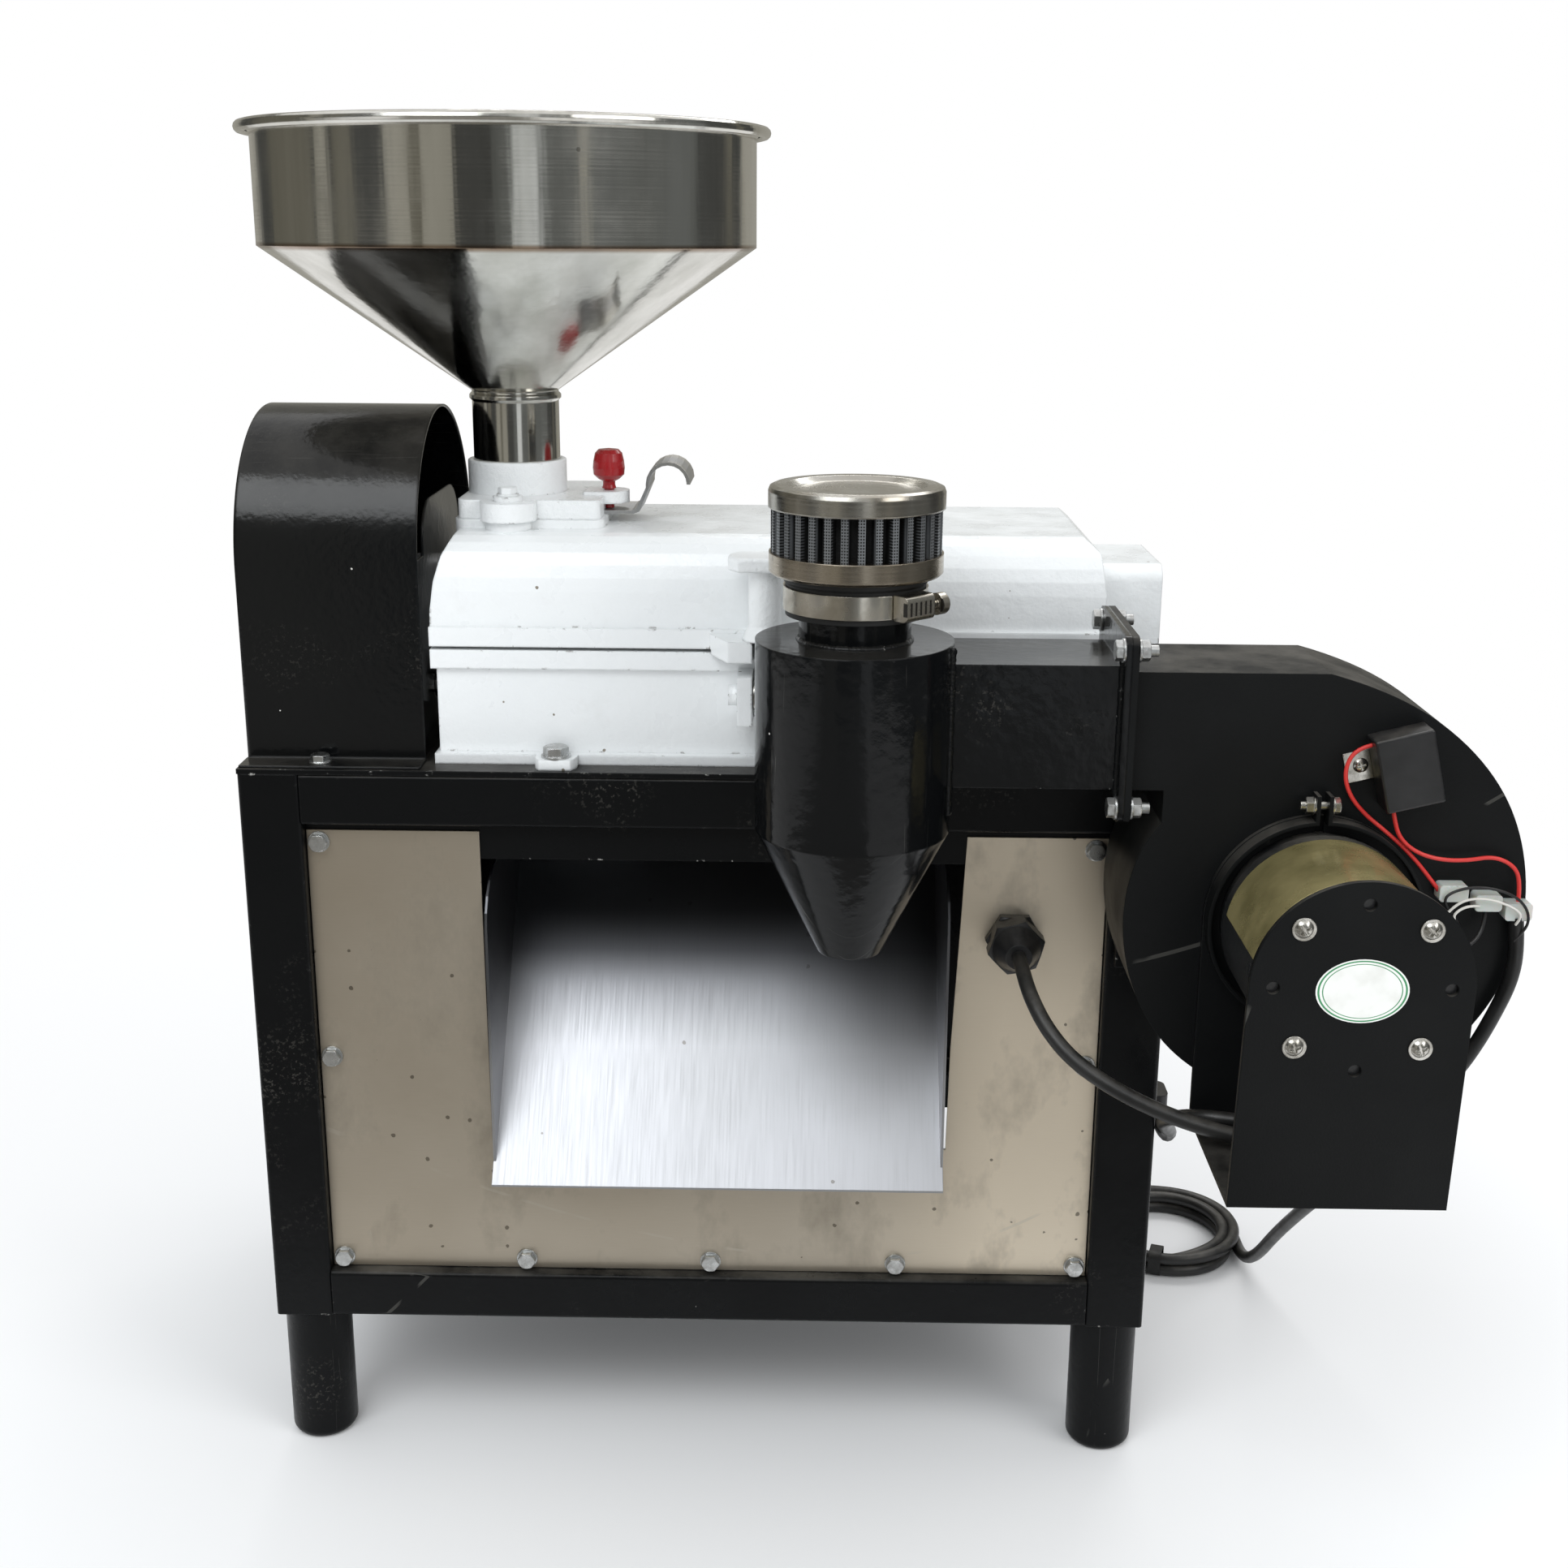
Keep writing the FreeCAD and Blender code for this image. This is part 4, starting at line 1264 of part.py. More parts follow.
# The blower's wiring, held by the machine all the way. Its points are taken from the fan's axis.
LEAD_R = 1.1
SLEEVE_R = 4.0
lead_y = SCROLL_Y0 - 9.0
connector_boxes = ((63.0, 78.0, 12.5, 21.5), (82.0, 96.0, 7.5, 16.5), (98.0, 112.0, 2.5, 12.0))
connectors = []
for x0, x1, z0, z1 in connector_boxes:
    block = box(FAN_X + x0, FAN_X + x1, lead_y, SCROLL_Y0, FAN_Z + z0, FAN_Z + z1)
    connectors.append(block.makeFillet(2.0, [e for e in block.Edges if e.BoundBox.YLength > 8]))
save("wire_connectors", connectors)


def from_fan(points):
    return [(FAN_X + x, y, FAN_Z + z) for x, y, z in points]


red_upper = from_fan([
    (21.1, -88.5, 96.4), (13.0, -88.5, 94.4), (8.5, -87.5, 83.5), (11.5, -86.5, 70.5), (21.0, -86.0, 59.0),
    (34.0, -86.0, 49.0), (47.5, -85.5, 37.0), (59.0, -85.0, 23.5), (63.5, -85.0, 17.5)])
red_lower = from_fan([
    (34.5, -88.5, 63.2), (36.4, -88.5, 55.4), (40.0, -88.0, 46.5), (49.0, -87.5, 39.0), (61.5, -87.0, 35.0),
    (76.0, -86.5, 34.5), (90.0, -86.0, 37.0), (101.5, -85.5, 31.5), (105.5, -85.0, 22.0), (105.5, -85.0,
                                                                                           11.5)])
black_tail = from_fan([
    (89.0, -85.0, 8.0), (89.0, -86.5, -1.5), (82.0, -91.5, -9.5), (71.0, -97.5, -11.0), (60.0, -101.5,
                                                                                         -8.0),
    (48.5, -103.0, -5.0)])
sleeve = from_fan([
    (105.0, -85.5, 3.0), (107.5, -86.0, -13.5), (106.0, -86.5, -31.5), (99.5, -87.0, -49.5), (91.0, -88.5,
                                                                                              -67.5),
    (79.5, -92.0, -84.0), (63.0, -97.0, -95.5), (43.0, -102.0, -103.0), (17.0, -106.5, -107.5),
    (-11.0, -108.5, -108.0), (-36.0, -106.5, -105.0), (-58.0, -97.0, -107.0), (-68.0, -76.0, -119.5),
    (-64.0, -46.0, -137.5), (-51.0, -14.0, -158.5), (-48.0, 22.0, -180.5)]) + [ELBOW]
thin = [route_tube(red_upper, LEAD_R, "red_upper"), route_tube(red_lower, LEAD_R, "red_lower"),
        route_tube(black_tail, LEAD_R, "black_tail").cut(fan_motor)]
thin = [t.cut(connectors + [case]) for t in thin]
save("motor_leads", thin + [route_tube(sleeve, SLEEVE_R, "sleeve").cut(connectors)])

free_cord = ("mains_cord", "cord_coil", "plug")
overall = Part.makeCompound([s for n, s in PIECES.items() if n not in free_cord]).BoundBox
print("pieces", len(PIECES), "x", round(overall.XMin, 2), round(overall.XMax, 2), "y",
      round(overall.YMin, 2),
      round(overall.YMax, 2), "z", round(overall.ZMin, 2), round(overall.ZMax, 2))
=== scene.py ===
# %% [markdown]
# # A coffee huller, dressed in Blender
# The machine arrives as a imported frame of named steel, iron, rubber and plastic
# pieces, already in place and in metres. This script adds what a drawing lacks:
# paint, castings, polished sheet, the loose mains cord and the blower's wires.

# %% Load the frame
import bpy
import bmesh
import math
from mathutils import Matrix, Vector


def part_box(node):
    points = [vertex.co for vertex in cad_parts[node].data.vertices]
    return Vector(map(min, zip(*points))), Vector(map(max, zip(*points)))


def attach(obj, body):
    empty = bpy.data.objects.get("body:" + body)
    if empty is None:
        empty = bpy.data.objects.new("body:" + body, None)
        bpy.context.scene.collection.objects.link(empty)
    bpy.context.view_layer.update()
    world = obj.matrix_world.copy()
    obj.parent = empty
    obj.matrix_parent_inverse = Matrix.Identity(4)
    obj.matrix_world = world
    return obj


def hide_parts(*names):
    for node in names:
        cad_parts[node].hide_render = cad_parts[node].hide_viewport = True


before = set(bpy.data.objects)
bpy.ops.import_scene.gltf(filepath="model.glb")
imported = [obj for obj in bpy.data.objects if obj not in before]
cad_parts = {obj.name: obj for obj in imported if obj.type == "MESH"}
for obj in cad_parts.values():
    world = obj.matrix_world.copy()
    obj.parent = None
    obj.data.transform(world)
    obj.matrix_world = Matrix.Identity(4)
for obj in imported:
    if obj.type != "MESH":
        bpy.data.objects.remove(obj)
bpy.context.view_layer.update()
print("pieces in the frame:", len(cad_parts))

# %% [markdown]
# All places below are measured in millimetres from the stand's left front corner,
# at floor level, because that is how a tape measure would be held to the machine.

# %% A point on the machine
MM = 0.001
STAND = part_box("corner_posts")[0]


def at(x, y, z):
    """A point in metres, from millimetres off the stand's left front foot."""
    return Vector((STAND.x + x * MM, STAND.y + y * MM, z * MM))


print("stand corner", [round(v, 4) for v in STAND])

# %% [markdown]
# ## The camera
# A camera is fixed by its place, its aim and its lens. These came from matching
# the stand's edges, the hopper's rim and the blower to the photograph. The aim
# is built from three turns, so that each stays readable.

# %% Camera
EYE = Vector((-0.023835, -1.087475, 0.7323))
PITCH = 0.2742
YAW = -0.0158
ROLL = -0.0067
LENS = 43.05
SHIFT_Y = -0.01478


def aim_camera(camera, place, pitch, yaw, roll):
    """Turn a camera from looking along +Y: yaw about up, pitch down, then roll."""
    ahead = Vector((math.sin(yaw), math.cos(yaw), 0.0))
    side = Vector((math.cos(yaw), -math.sin(yaw), 0.0))
    down = Vector((0.0, 0.0, -1.0))
    look = math.cos(pitch) * ahead + math.sin(pitch) * down
    below = math.cos(pitch) * down - math.sin(pitch) * ahead
    across = math.cos(roll) * side + math.sin(roll) * below
    under = math.cos(roll) * below - math.sin(roll) * side
    turn = Matrix((across, -under, -look)).transposed()
    camera.matrix_world = Matrix.Translation(place) @ turn.to_4x4()


lens = bpy.data.cameras.new("camera")
lens.lens = LENS
lens.sensor_width = 36.0
lens.shift_y = SHIFT_Y
lens.clip_start = 0.05
camera = bpy.data.objects.new("camera", lens)
bpy.context.scene.collection.objects.link(camera)
aim_camera(camera, EYE, PITCH, YAW, ROLL)
bpy.context.scene.camera = camera
bpy.context.scene.view_settings.view_transform = "Standard"
print("camera at", tuple(round(v, 3) for v in EYE))

# %% [markdown]
# ## Node helpers
# A material is a small network. Short helpers keep that network readable: one
# adds a node and fills its sockets, one mixes two colours by a mask, one maps a
# range of values onto another, and the rest make a noise or place a pattern.


# %% Node helpers
def srgb(code):
    """A screen colour such as 8a8478 as linear red, green, blue and alpha."""
    channels = [int(code[i:i + 2], 16) / 255.0 for i in (0, 2, 4)]
    return [((c + 0.055) / 1.055) ** 2.4 if c > 0.04045 else c / 12.92 for c in channels] + [1.0]


def feed(tree, socket, value):
    """Link an output to a socket, or write a plain value on it."""
    if isinstance(value, bpy.types.NodeSocket):
        tree.links.new(value, socket)
    else:
        socket.default_value = value


def add(tree, kind, inputs=None, **settings):
    """Add a node, set its options, then fill its input sockets."""
    node = tree.nodes.new("ShaderNode" + kind)
    for key, value in settings.items():
        setattr(node, key, value)
    for key, value in (inputs or {}).items():
        feed(tree, node.inputs[key], value)
    return node


def calc(tree, work, first, second=0.0):
    """One Math node."""
    return add(tree, "Math", {0: first, 1: second}, operation=work).outputs[0]


def span(tree, value, low, high, to_low=0.0, to_high=1.0):
    """Map a range of values onto another, held at its ends."""
    sockets = {"Value": value, "From Min": low, "From Max": high, "To Min": to_low, "To Max": to_high}
    return add(tree, "MapRange", sockets).outputs[0]


def blend(tree, mask, under, over):
    """Mix two colours by a mask."""
    node = add(tree, "Mix", data_type="RGBA")
    feed(tree, node.inputs[0], mask)
    feed(tree, node.inputs[6], under)
    feed(tree, node.inputs[7], over)
    return node.outputs[2]


def noise(tree, where, scale, detail=2.0, rough=0.5):
    """A soft noise value."""
    sockets = {"Vector": where, "Scale": scale, "Detail": detail, "Roughness": rough}
    return add(tree, "TexNoise", sockets).outputs[0]


def place_of(tree):
    """Object coordinates, which are metres in the machine's own frame."""
    return add(tree, "TexCoord").outputs["Object"]


def stretch(tree, where, scale, turn=(0.0, 0.0, 0.0), shift=(0.0, 0.0, 0.0)):
    """Scale, turn or shift a pattern."""
    sockets = {"Vector": where, "Scale": scale, "Rotation": turn, "Location": shift}
    return add(tree, "Mapping", sockets).outputs[0]


def height_of(tree, where):
    """The z coordinate alone."""
    return add(tree, "SeparateXYZ", {0: where}).outputs[2]


# %% [markdown]
# ## Shared effects
# Soft edges, specks, hairlines, dust and skin turn up on many materials, so each is
# a node group with named inputs. A group gives out masks, heights and normals
# only, and the shader itself stays in the material.

# %% Group helper
def new_group(name, takes, gives):
    """An empty node group with named float inputs and outputs."""
    group = bpy.data.node_groups.new(name, "ShaderNodeTree")
    for title, value in takes:
        group.interface.new_socket(title, in_out="INPUT", socket_type="NodeSocketFloat").default_value = value
    for title, kind in gives:
        group.interface.new_socket(title, in_out="OUTPUT", socket_type=kind)
    entry = group.nodes.new("NodeGroupInput")
    leave = group.nodes.new("NodeGroupOutput")
    return group, entry.outputs, leave.inputs


FLOAT = "NodeSocketFloat"
VECTOR = "NodeSocketVector"


def use(tree, group, **inputs):
    """Place a group in a tree, with its own values."""
    node = tree.nodes.new("ShaderNodeGroup")
    node.node_tree = group
    for key, value in inputs.items():
        feed(tree, node.inputs[key], value)
    return node.outputs


# %% [markdown]
# A real edge is never perfectly sharp. The Bevel node rounds the shading of an
# edge, and the angle between the rounded normal and the true one is a ready mask
# of where the edges are.

# %% Soft edges
edges, take, give = new_group("soft_edges", [("Radius", 0.0015)], [("Normal", VECTOR), ("Edge", FLOAT)])
rounded = add(edges, "Bevel", {"Radius": take["Radius"]}, samples=5).outputs[0]
true = add(edges, "NewGeometry").outputs["Normal"]
facing = add(edges, "VectorMath", {0: rounded, 1: true}, operation="DOT_PRODUCT").outputs["Value"]
feed(edges, give["Normal"], rounded)
feed(edges, give["Edge"], span(edges, facing, 0.99, 0.80))
print("group", edges.name)

# %% [markdown]
# Specks are small uneven spots: a Voronoi pattern gives each cell a centre and a
# random colour, the distance makes the spot and the colour picks a few of them.

# %% Specks
SPECK_INPUTS = [("Scale", 300.0), ("Size", 0.25), ("Share", 0.2)]
specks, take, give = new_group("specks", SPECK_INPUTS, [("Mask", FLOAT)])
where = place_of(specks)
finer = calc(specks, "MULTIPLY", take["Scale"], 2.0)
wobble = add(specks, "TexNoise", {"Vector": where, "Scale": finer}).outputs[1]
moved = add(specks, "VectorMath", {0: wobble, "Scale": 0.0012}, operation="SCALE").outputs[0]
spot_at = add(specks, "VectorMath", {0: where, 1: moved}, operation="ADD").outputs[0]
cells = add(specks, "TexVoronoi", {"Vector": spot_at, "Scale": take["Scale"]})
chosen = add(specks, "SeparateXYZ", {0: cells.outputs["Color"]}).outputs[0]
picked = calc(specks, "LESS_THAN", chosen, take["Share"])
near = calc(specks, "LESS_THAN", cells.outputs["Distance"], take["Size"])
feed(specks, give["Mask"], calc(specks, "MULTIPLY", picked, near))
print("group", specks.name)

# %% [markdown]
# Hairline scratches are thin contour lines of a noise that is stretched so far
# that they run nearly straight. A second noise breaks them into short strokes, and
# three families of them cross at an angle.

# %% Hairlines
hairs, take, give = new_group("hairlines", [("Scale", 6.0), ("Width", 0.006)], [("Mask", FLOAT)])
marks = 0.0
for turn in ((0.5, 0.3, 0.9), (1.9, 1.1, 2.3), (2.7, 0.2, 0.4)):
    lined = stretch(hairs, place_of(hairs), (0.6, 30.0, 0.6), turn)
    field = noise(hairs, lined, take["Scale"], 0.0)
    off_middle = calc(hairs, "ABSOLUTE", calc(hairs, "SUBTRACT", field, 0.5))
    line = calc(hairs, "LESS_THAN", off_middle, take["Width"])
    gaps = noise(hairs, stretch(hairs, place_of(hairs), (1.0, 1.0, 1.0), turn), 26.0, 2.0)
    strokes = calc(hairs, "MULTIPLY", line, span(hairs, gaps, 0.56, 0.6))
    marks = calc(hairs, "MAXIMUM", marks, strokes)
feed(hairs, give["Mask"], marks)
print("group", hairs.name)

# %% [markdown]
# Dust lies on what faces up. The object normal tells the direction and a noise
# breaks the film into patches.

# %% Settled dust
dust, take, give = new_group("settled_dust", [("Scale", 20.0), ("Amount", 0.5)], [("Mask", FLOAT)])
up = add(dust, "SeparateXYZ", {0: add(dust, "TexCoord").outputs["Normal"]}).outputs[2]
patch = span(dust, noise(dust, place_of(dust), take["Scale"], 5.0, 0.65), 0.35, 0.7)
dust_film_and_painted_shade = calc(dust, "MULTIPLY", span(dust, up, 0.3, 0.95), patch)
feed(dust, give["Mask"], calc(dust, "MULTIPLY", dust_film_and_painted_shade, take["Amount"]))
print("group", dust.name)

# %% [markdown]
# Cast and sprayed surfaces have a skin: a broad swell with a fine grain on it.

# %% Skin
skin, take, give = new_group("skin", [("Scale", 250.0), ("Grain", 0.3)], [("Height", FLOAT)])
swell = noise(skin, place_of(skin), take["Scale"], 1.0)
fine = noise(skin, place_of(skin), calc(skin, "MULTIPLY", take["Scale"], 4.0), 2.0)
feed(skin, give["Height"], calc(skin, "ADD", calc(skin, "MULTIPLY", fine, take["Grain"]), swell))
print("group", skin.name)

# %% [markdown]
# ## Finishes
# Each finish is one Principled shader. Values that are the same all over the
# surface go straight on its sockets, and only what varies arrives by a link.


# %% A finish
def finish(name, **values):
    """A material with its Principled shader, ready for links."""
    material = bpy.data.materials.new(name)
    material.use_nodes = True
    tree = material.node_tree
    shader = tree.nodes["Principled BSDF"]
    for key, value in values.items():
        feed(tree, shader.inputs[key.replace("_", " ").title()], value)
    return material, tree, shader.inputs


def bump(tree, sockets, height, depth, strength=1.0, radius=0.0012):
    """Give a surface its height and its rounded edges together."""
    under = use(tree, edges, Radius=radius)["Normal"]
    inputs = {"Height": height, "Distance": depth, "Strength": strength, "Normal": under}
    feed(tree, sockets["Normal"], add(tree, "Bump", inputs).outputs[0])


def dress(material, *names):
    """Put a finish on CAD nodes, in every slot that they have."""
    for name in names:
        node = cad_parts[name]
        for holder in node.material_slots:
            holder.material = material


# %% [markdown]
# The stand is square steel tube under a thick black gloss paint. Transport has
# knocked pale chips out of its edges, faint grime sits in patches, and grey dust
# lies on what faces up.

# %% Stand paint
def black_paint(name, colour, low, high, skin_scale, skin_depth, chips, dust_amount,
                radius=0.0012, shine=0.14):
    """Black paint over steel: skin, hairlines, chipped edges and dust."""
    material, tree, sockets = finish(name)
    sockets["Specular IOR Level"].default_value = shine
    where = place_of(tree)
    tone = blend(tree, noise(tree, where, 9.0, 4.0), srgb(colour), srgb("0f1011"))
    marks = calc(tree, "MULTIPLY", use(tree, hairs, Scale=3.0, Width=0.0015)["Mask"], 0.4)
    scuffed = blend(tree, marks, tone, srgb("5b5a56"))
    edge = use(tree, edges, Radius=0.0022)["Edge"]
    torn = span(tree, noise(tree, where, 160.0, 4.0, 0.7), 0.5 + chips, 0.56 + chips)
    chip = calc(tree, "MULTIPLY", edge, torn)
    flecks = calc(tree, "MAXIMUM", chip, use(tree, specks, Scale=110.0, Size=0.07, Share=0.012)["Mask"])
    patch = span(tree, noise(tree, where, 13.0, 2.0), 0.58, 0.74, 0.0, 0.3)
    fine = span(tree, noise(tree, where, 420.0, 3.0, 0.7), 0.57, 0.63)
    grimy = blend(tree, calc(tree, "MULTIPLY", patch, fine), scuffed, srgb("5f5c56"))
    chipped = blend(tree, flecks, grimy, srgb("c9c8c2"))
    dusty = use(tree, dust, Scale=16.0, Amount=dust_amount)["Mask"]
    feed(tree, sockets["Base Color"], blend(tree, dusty, chipped, srgb("7f7b73")))
    gloss = span(tree, noise(tree, where, 24.0, 5.0, 0.6), 0.3, 0.7, low, high)
    feed(tree, sockets["Roughness"], calc(tree, "MAXIMUM", gloss, calc(tree, "MULTIPLY", dusty, 0.9)))
    bump(tree, sockets, use(tree, skin, Scale=skin_scale, Grain=0.2)["Height"], skin_depth, 0.5, radius)
    return material


stand_paint = black_paint("stand_paint", "070809", 0.22, 0.42, 180.0, 0.0003, 0.11, 0.35)
dress(stand_paint, "corner_posts", "frame_rails", "legs", "table_plate", "stand_panels", "motor_bars")
dress(stand_paint, "suction_box", "blower_mount")
guard_paint = black_paint("guard_paint", "0a0b0c", 0.12, 0.22, 260.0, 0.00022, 0.20, 0.2, 0.002, 0.3)
dress(guard_paint, "belt_guard", "guard_backing_plate")
cyclone_paint = black_paint("cyclone_paint", "060708", 0.08, 0.2, 120.0, 0.0004, 0.16, 0.15, 0.0015, 0.22)
dress(cyclone_paint, "cyclone_body")
print("black paints:", 3)

# %% [markdown]
# The blower is stamped sheet with a thinner, satin powder coat: finer grain, a
# wider highlight and a few dull scratches near the bracket's lower edge.

# %% Blower paint
RUB_FADE = (0.34, 0.29)


def satin_paint():
    """Satin powder coat, rubbed near the bracket's lower edge."""
    material, tree, sockets = finish("blower_paint")
    sockets["Specular IOR Level"].default_value = 0.12
    where = place_of(tree)
    tone = blend(tree, noise(tree, where, 14.0, 4.0), srgb("0e0f10"), srgb("171818"))
    marks = use(tree, hairs, Scale=3.0, Width=0.0012)["Mask"]
    low = span(tree, height_of(tree, where), *RUB_FADE)
    rubbed = calc(tree, "MULTIPLY", marks, span(tree, low, 0.0, 1.0, 0.15, 0.9))
    scratched = blend(tree, rubbed, tone, srgb("8d8b84"))
    dusty = use(tree, dust, Scale=22.0, Amount=0.45)["Mask"]
    feed(tree, sockets["Base Color"], blend(tree, dusty, scratched, srgb("77736c")))
    feed(tree, sockets["Roughness"], span(tree, noise(tree, where, 30.0, 5.0), 0.3, 0.7, 0.34, 0.5))
    bump(tree, sockets, use(tree, skin, Scale=900.0, Grain=0.4)["Height"], 0.00012, 0.5, 0.001)
    return material


blower_paint = satin_paint()
dress(blower_paint, "blower_housing", "blower_front_plate", "motor_bracket", "motor_clamp_ring")
print("finish", blower_paint.name)

# %% [markdown]
# The castings are iron with white enamel. The paint fills the sand texture only
# partly, grime sits in patches and rust shows where corners were hit.

# %% White castings
def enamel(name, grain, depth):
    """White enamel over cast iron, rougher for a larger grain."""
    material, tree, sockets = finish(name, coat_weight=0.25, coat_roughness=0.2)
    where = place_of(tree)
    tone = blend(tree, noise(tree, where, 11.0, 5.0, 0.6), srgb("f0f2f2"), srgb("e6e9ea"))
    edge = use(tree, edges, Radius=0.0025)["Edge"]
    hit = calc(tree, "MULTIPLY", edge, span(tree, noise(tree, where, 120.0, 4.0, 0.7), 0.60, 0.66))
    chipped = blend(tree, hit, tone, srgb("5c5148"))
    spots = use(tree, specks, Scale=140.0, Size=0.14, Share=0.03)["Mask"]
    spotted = blend(tree, spots, chipped, srgb("8c8579"))
    grime = span(tree, noise(tree, where, 26.0, 6.0, 0.7), 0.58, 0.8, 0.0, 0.16)
    feed(tree, sockets["Base Color"], blend(tree, grime, spotted, srgb("b9b5aa")))
    feed(tree, sockets["Roughness"], span(tree, noise(tree, where, 40.0, 4.0), 0.3, 0.7, 0.22, 0.42))
    bump(tree, sockets, use(tree, skin, Scale=grain, Grain=0.5)["Height"], depth, 0.6, 0.0018)
    return material


casting_enamel = enamel("casting_enamel", 130.0, 0.0006)
dress(casting_enamel, "lower_casing", "upper_casing", "bearing_housings")
rough_enamel = enamel("rough_enamel", 330.0, 0.0009)
dress(rough_enamel, "feed_base", "feed_base_bolts", "clamp_nut", "pivot_pins")
print("enamels:", 2)

# %% [markdown]
# The front panel is satin stainless sheet. Its warm tone is painted reflection, and
# it is painted paler to the right as painted reflection too, with cloudy stains,
# dark specks and hairlines.

# %% Front panel
def panel_steel():
    """Stained satin stainless sheet, with a warm painted reflection that is paler to the right."""
    material, tree, sockets = finish("panel_steel")
    where = place_of(tree)
    broad = noise(tree, where, 6.0, 3.0)
    # Painted reflection: a warm tone for what the sheet reflects.
    even = blend(tree, span(tree, broad, 0.3, 0.7), srgb("c6bdae"), srgb("b6ab9a"))
    right_side = add(tree, "SeparateXYZ", {0: where}).outputs[0]
    # Painted reflection: the colour is painted paler towards the right side of the sheet.
    base = blend(tree, span(tree, right_side, 0.0, 0.09), even, srgb("ebdfcb"))
    tall_cloud = noise(tree, stretch(tree, where, (1.0, 1.0, 0.6)), 21.0, 5.0, 0.62)
    stain = span(tree, tall_cloud, 0.52, 0.68, 0.0, 0.5)
    stained = blend(tree, stain, base, srgb("7b7263"))
    spots = use(tree, specks, Scale=150.0, Size=0.2, Share=0.06)["Mask"]
    marked = blend(tree, calc(tree, "MULTIPLY", spots, 0.7), stained, srgb("4e463a"))
    lines = use(tree, hairs, Scale=3.0, Width=0.0015)["Mask"]
    faint = calc(tree, "MULTIPLY", lines, 0.35)
    feed(tree, sockets["Base Color"], blend(tree, faint, marked, srgb("c9c4b8")))
    feed(tree, sockets["Metallic"], span(tree, stain, 0.0, 0.5, 0.9, 0.7))
    grain = noise(tree, stretch(tree, where, (1.0, 1.0, 40.0)), 60.0, 3.0)
    feed(tree, sockets["Roughness"], span(tree, grain, 0.3, 0.7, 0.38, 0.52))
    bump(tree, sockets, grain, 0.00004, 0.4, 0.0006)
    return material


panel_finish = panel_steel()
dress(panel_finish, "front_panel")
print("finish", panel_finish.name)

# %% [markdown]
# The chute is bare bright sheet. Beans slide down it, so its scratches run down
# the slope. Towards the mill its colour is painted darker grey: painted shade for
# the dark inside of the machine that it reflects there.

# %% Bright sheet
def sheet_steel(name, tint, low, high, grey_from=9.0, grey_to=10.0):
    """Bright sheet with running streaks, painted darker grey between two heights as painted shade."""
    material, tree, sockets = finish(name)
    where = place_of(tree)
    cloudy = span(tree, noise(tree, where, 8.0, 4.0), 0.35, 0.65)
    base = blend(tree, cloudy, srgb(tint), srgb("b0b1b4"))
    run = noise(tree, stretch(tree, where, (90.0, 2.0, 2.0)), 14.0, 4.0, 0.6)
    streaked = blend(tree, span(tree, run, 0.5, 0.75, 0.0, 0.12), base, srgb("8f8f8c"))
    spots = use(tree, specks, Scale=120.0, Size=0.16, Share=0.04)["Mask"]
    spotted = blend(tree, calc(tree, "MULTIPLY", spots, 0.6), streaked, srgb("6a645a"))
    # Painted shade: between the two heights the colour greys towards a dark grey.
    dust_film_and_painted_shade = span(tree, height_of(tree, where), grey_from, grey_to, 0.0, 0.85)
    feed(tree, sockets["Base Color"], blend(tree, dust_film_and_painted_shade, spotted, srgb("55565a")))
    sockets["Metallic"].default_value = 1.0
    feed(tree, sockets["Roughness"], span(tree, run, 0.3, 0.7, low, high))
    bump(tree, sockets, run, 0.00002, 0.4, 0.0005)
    return material


CHUTE_LOW, CHUTE_HIGH = (corner.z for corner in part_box("chute"))
CHUTE_TALL = CHUTE_HIGH - CHUTE_LOW
# The chute's painted shade runs from 27 to 46 per cent of its height.
chute_sheet = sheet_steel("chute_sheet", "b9babe", 0.38, 0.45, CHUTE_LOW + 0.27 * CHUTE_TALL,
                          CHUTE_LOW + 0.46 * CHUTE_TALL)
dress(chute_sheet, "chute", "sieve_screen")
gate_sheet = sheet_steel("gate_sheet", "cbc6b8", 0.34, 0.5)
dress(gate_sheet, "gate_slide", "impeller")
print("bright sheets:", 2)

# %% [markdown]
# The hopper is spun and polished stainless. Spinning leaves faint rings round the
# axis. The soft upright clouds on the wall are partly polishing marks and partly
# painted reflection: lighter and darker upright streaks in its colour. The weld
# between wall and cone keeps a thin brown line. Angle and height round the
# hopper's own axis come from its object coordinates.

# %% Hopper steel
HOPPER_LOW, HOPPER_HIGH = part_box("hopper")
HOPPER_AXIS = (HOPPER_LOW + HOPPER_HIGH) * 0.5
CONE_TOP = 0.724
WELD_FADE = (0.0024, 0.0008)


def round_axis(tree, axis):
    """Angle, radius and height of a point round an upright axis."""
    local = stretch(tree, place_of(tree), (1.0, 1.0, 1.0), shift=(-axis.x, -axis.y, 0.0))
    parts = add(tree, "SeparateXYZ", {0: local}).outputs
    angle = calc(tree, "ARCTAN2", parts[1], parts[0])
    radius = calc(tree, "SQRT", calc(tree, "ADD", calc(tree, "MULTIPLY", parts[0], parts[0]),
                                     calc(tree, "MULTIPLY", parts[1], parts[1])))
    return angle, radius, parts[2], local


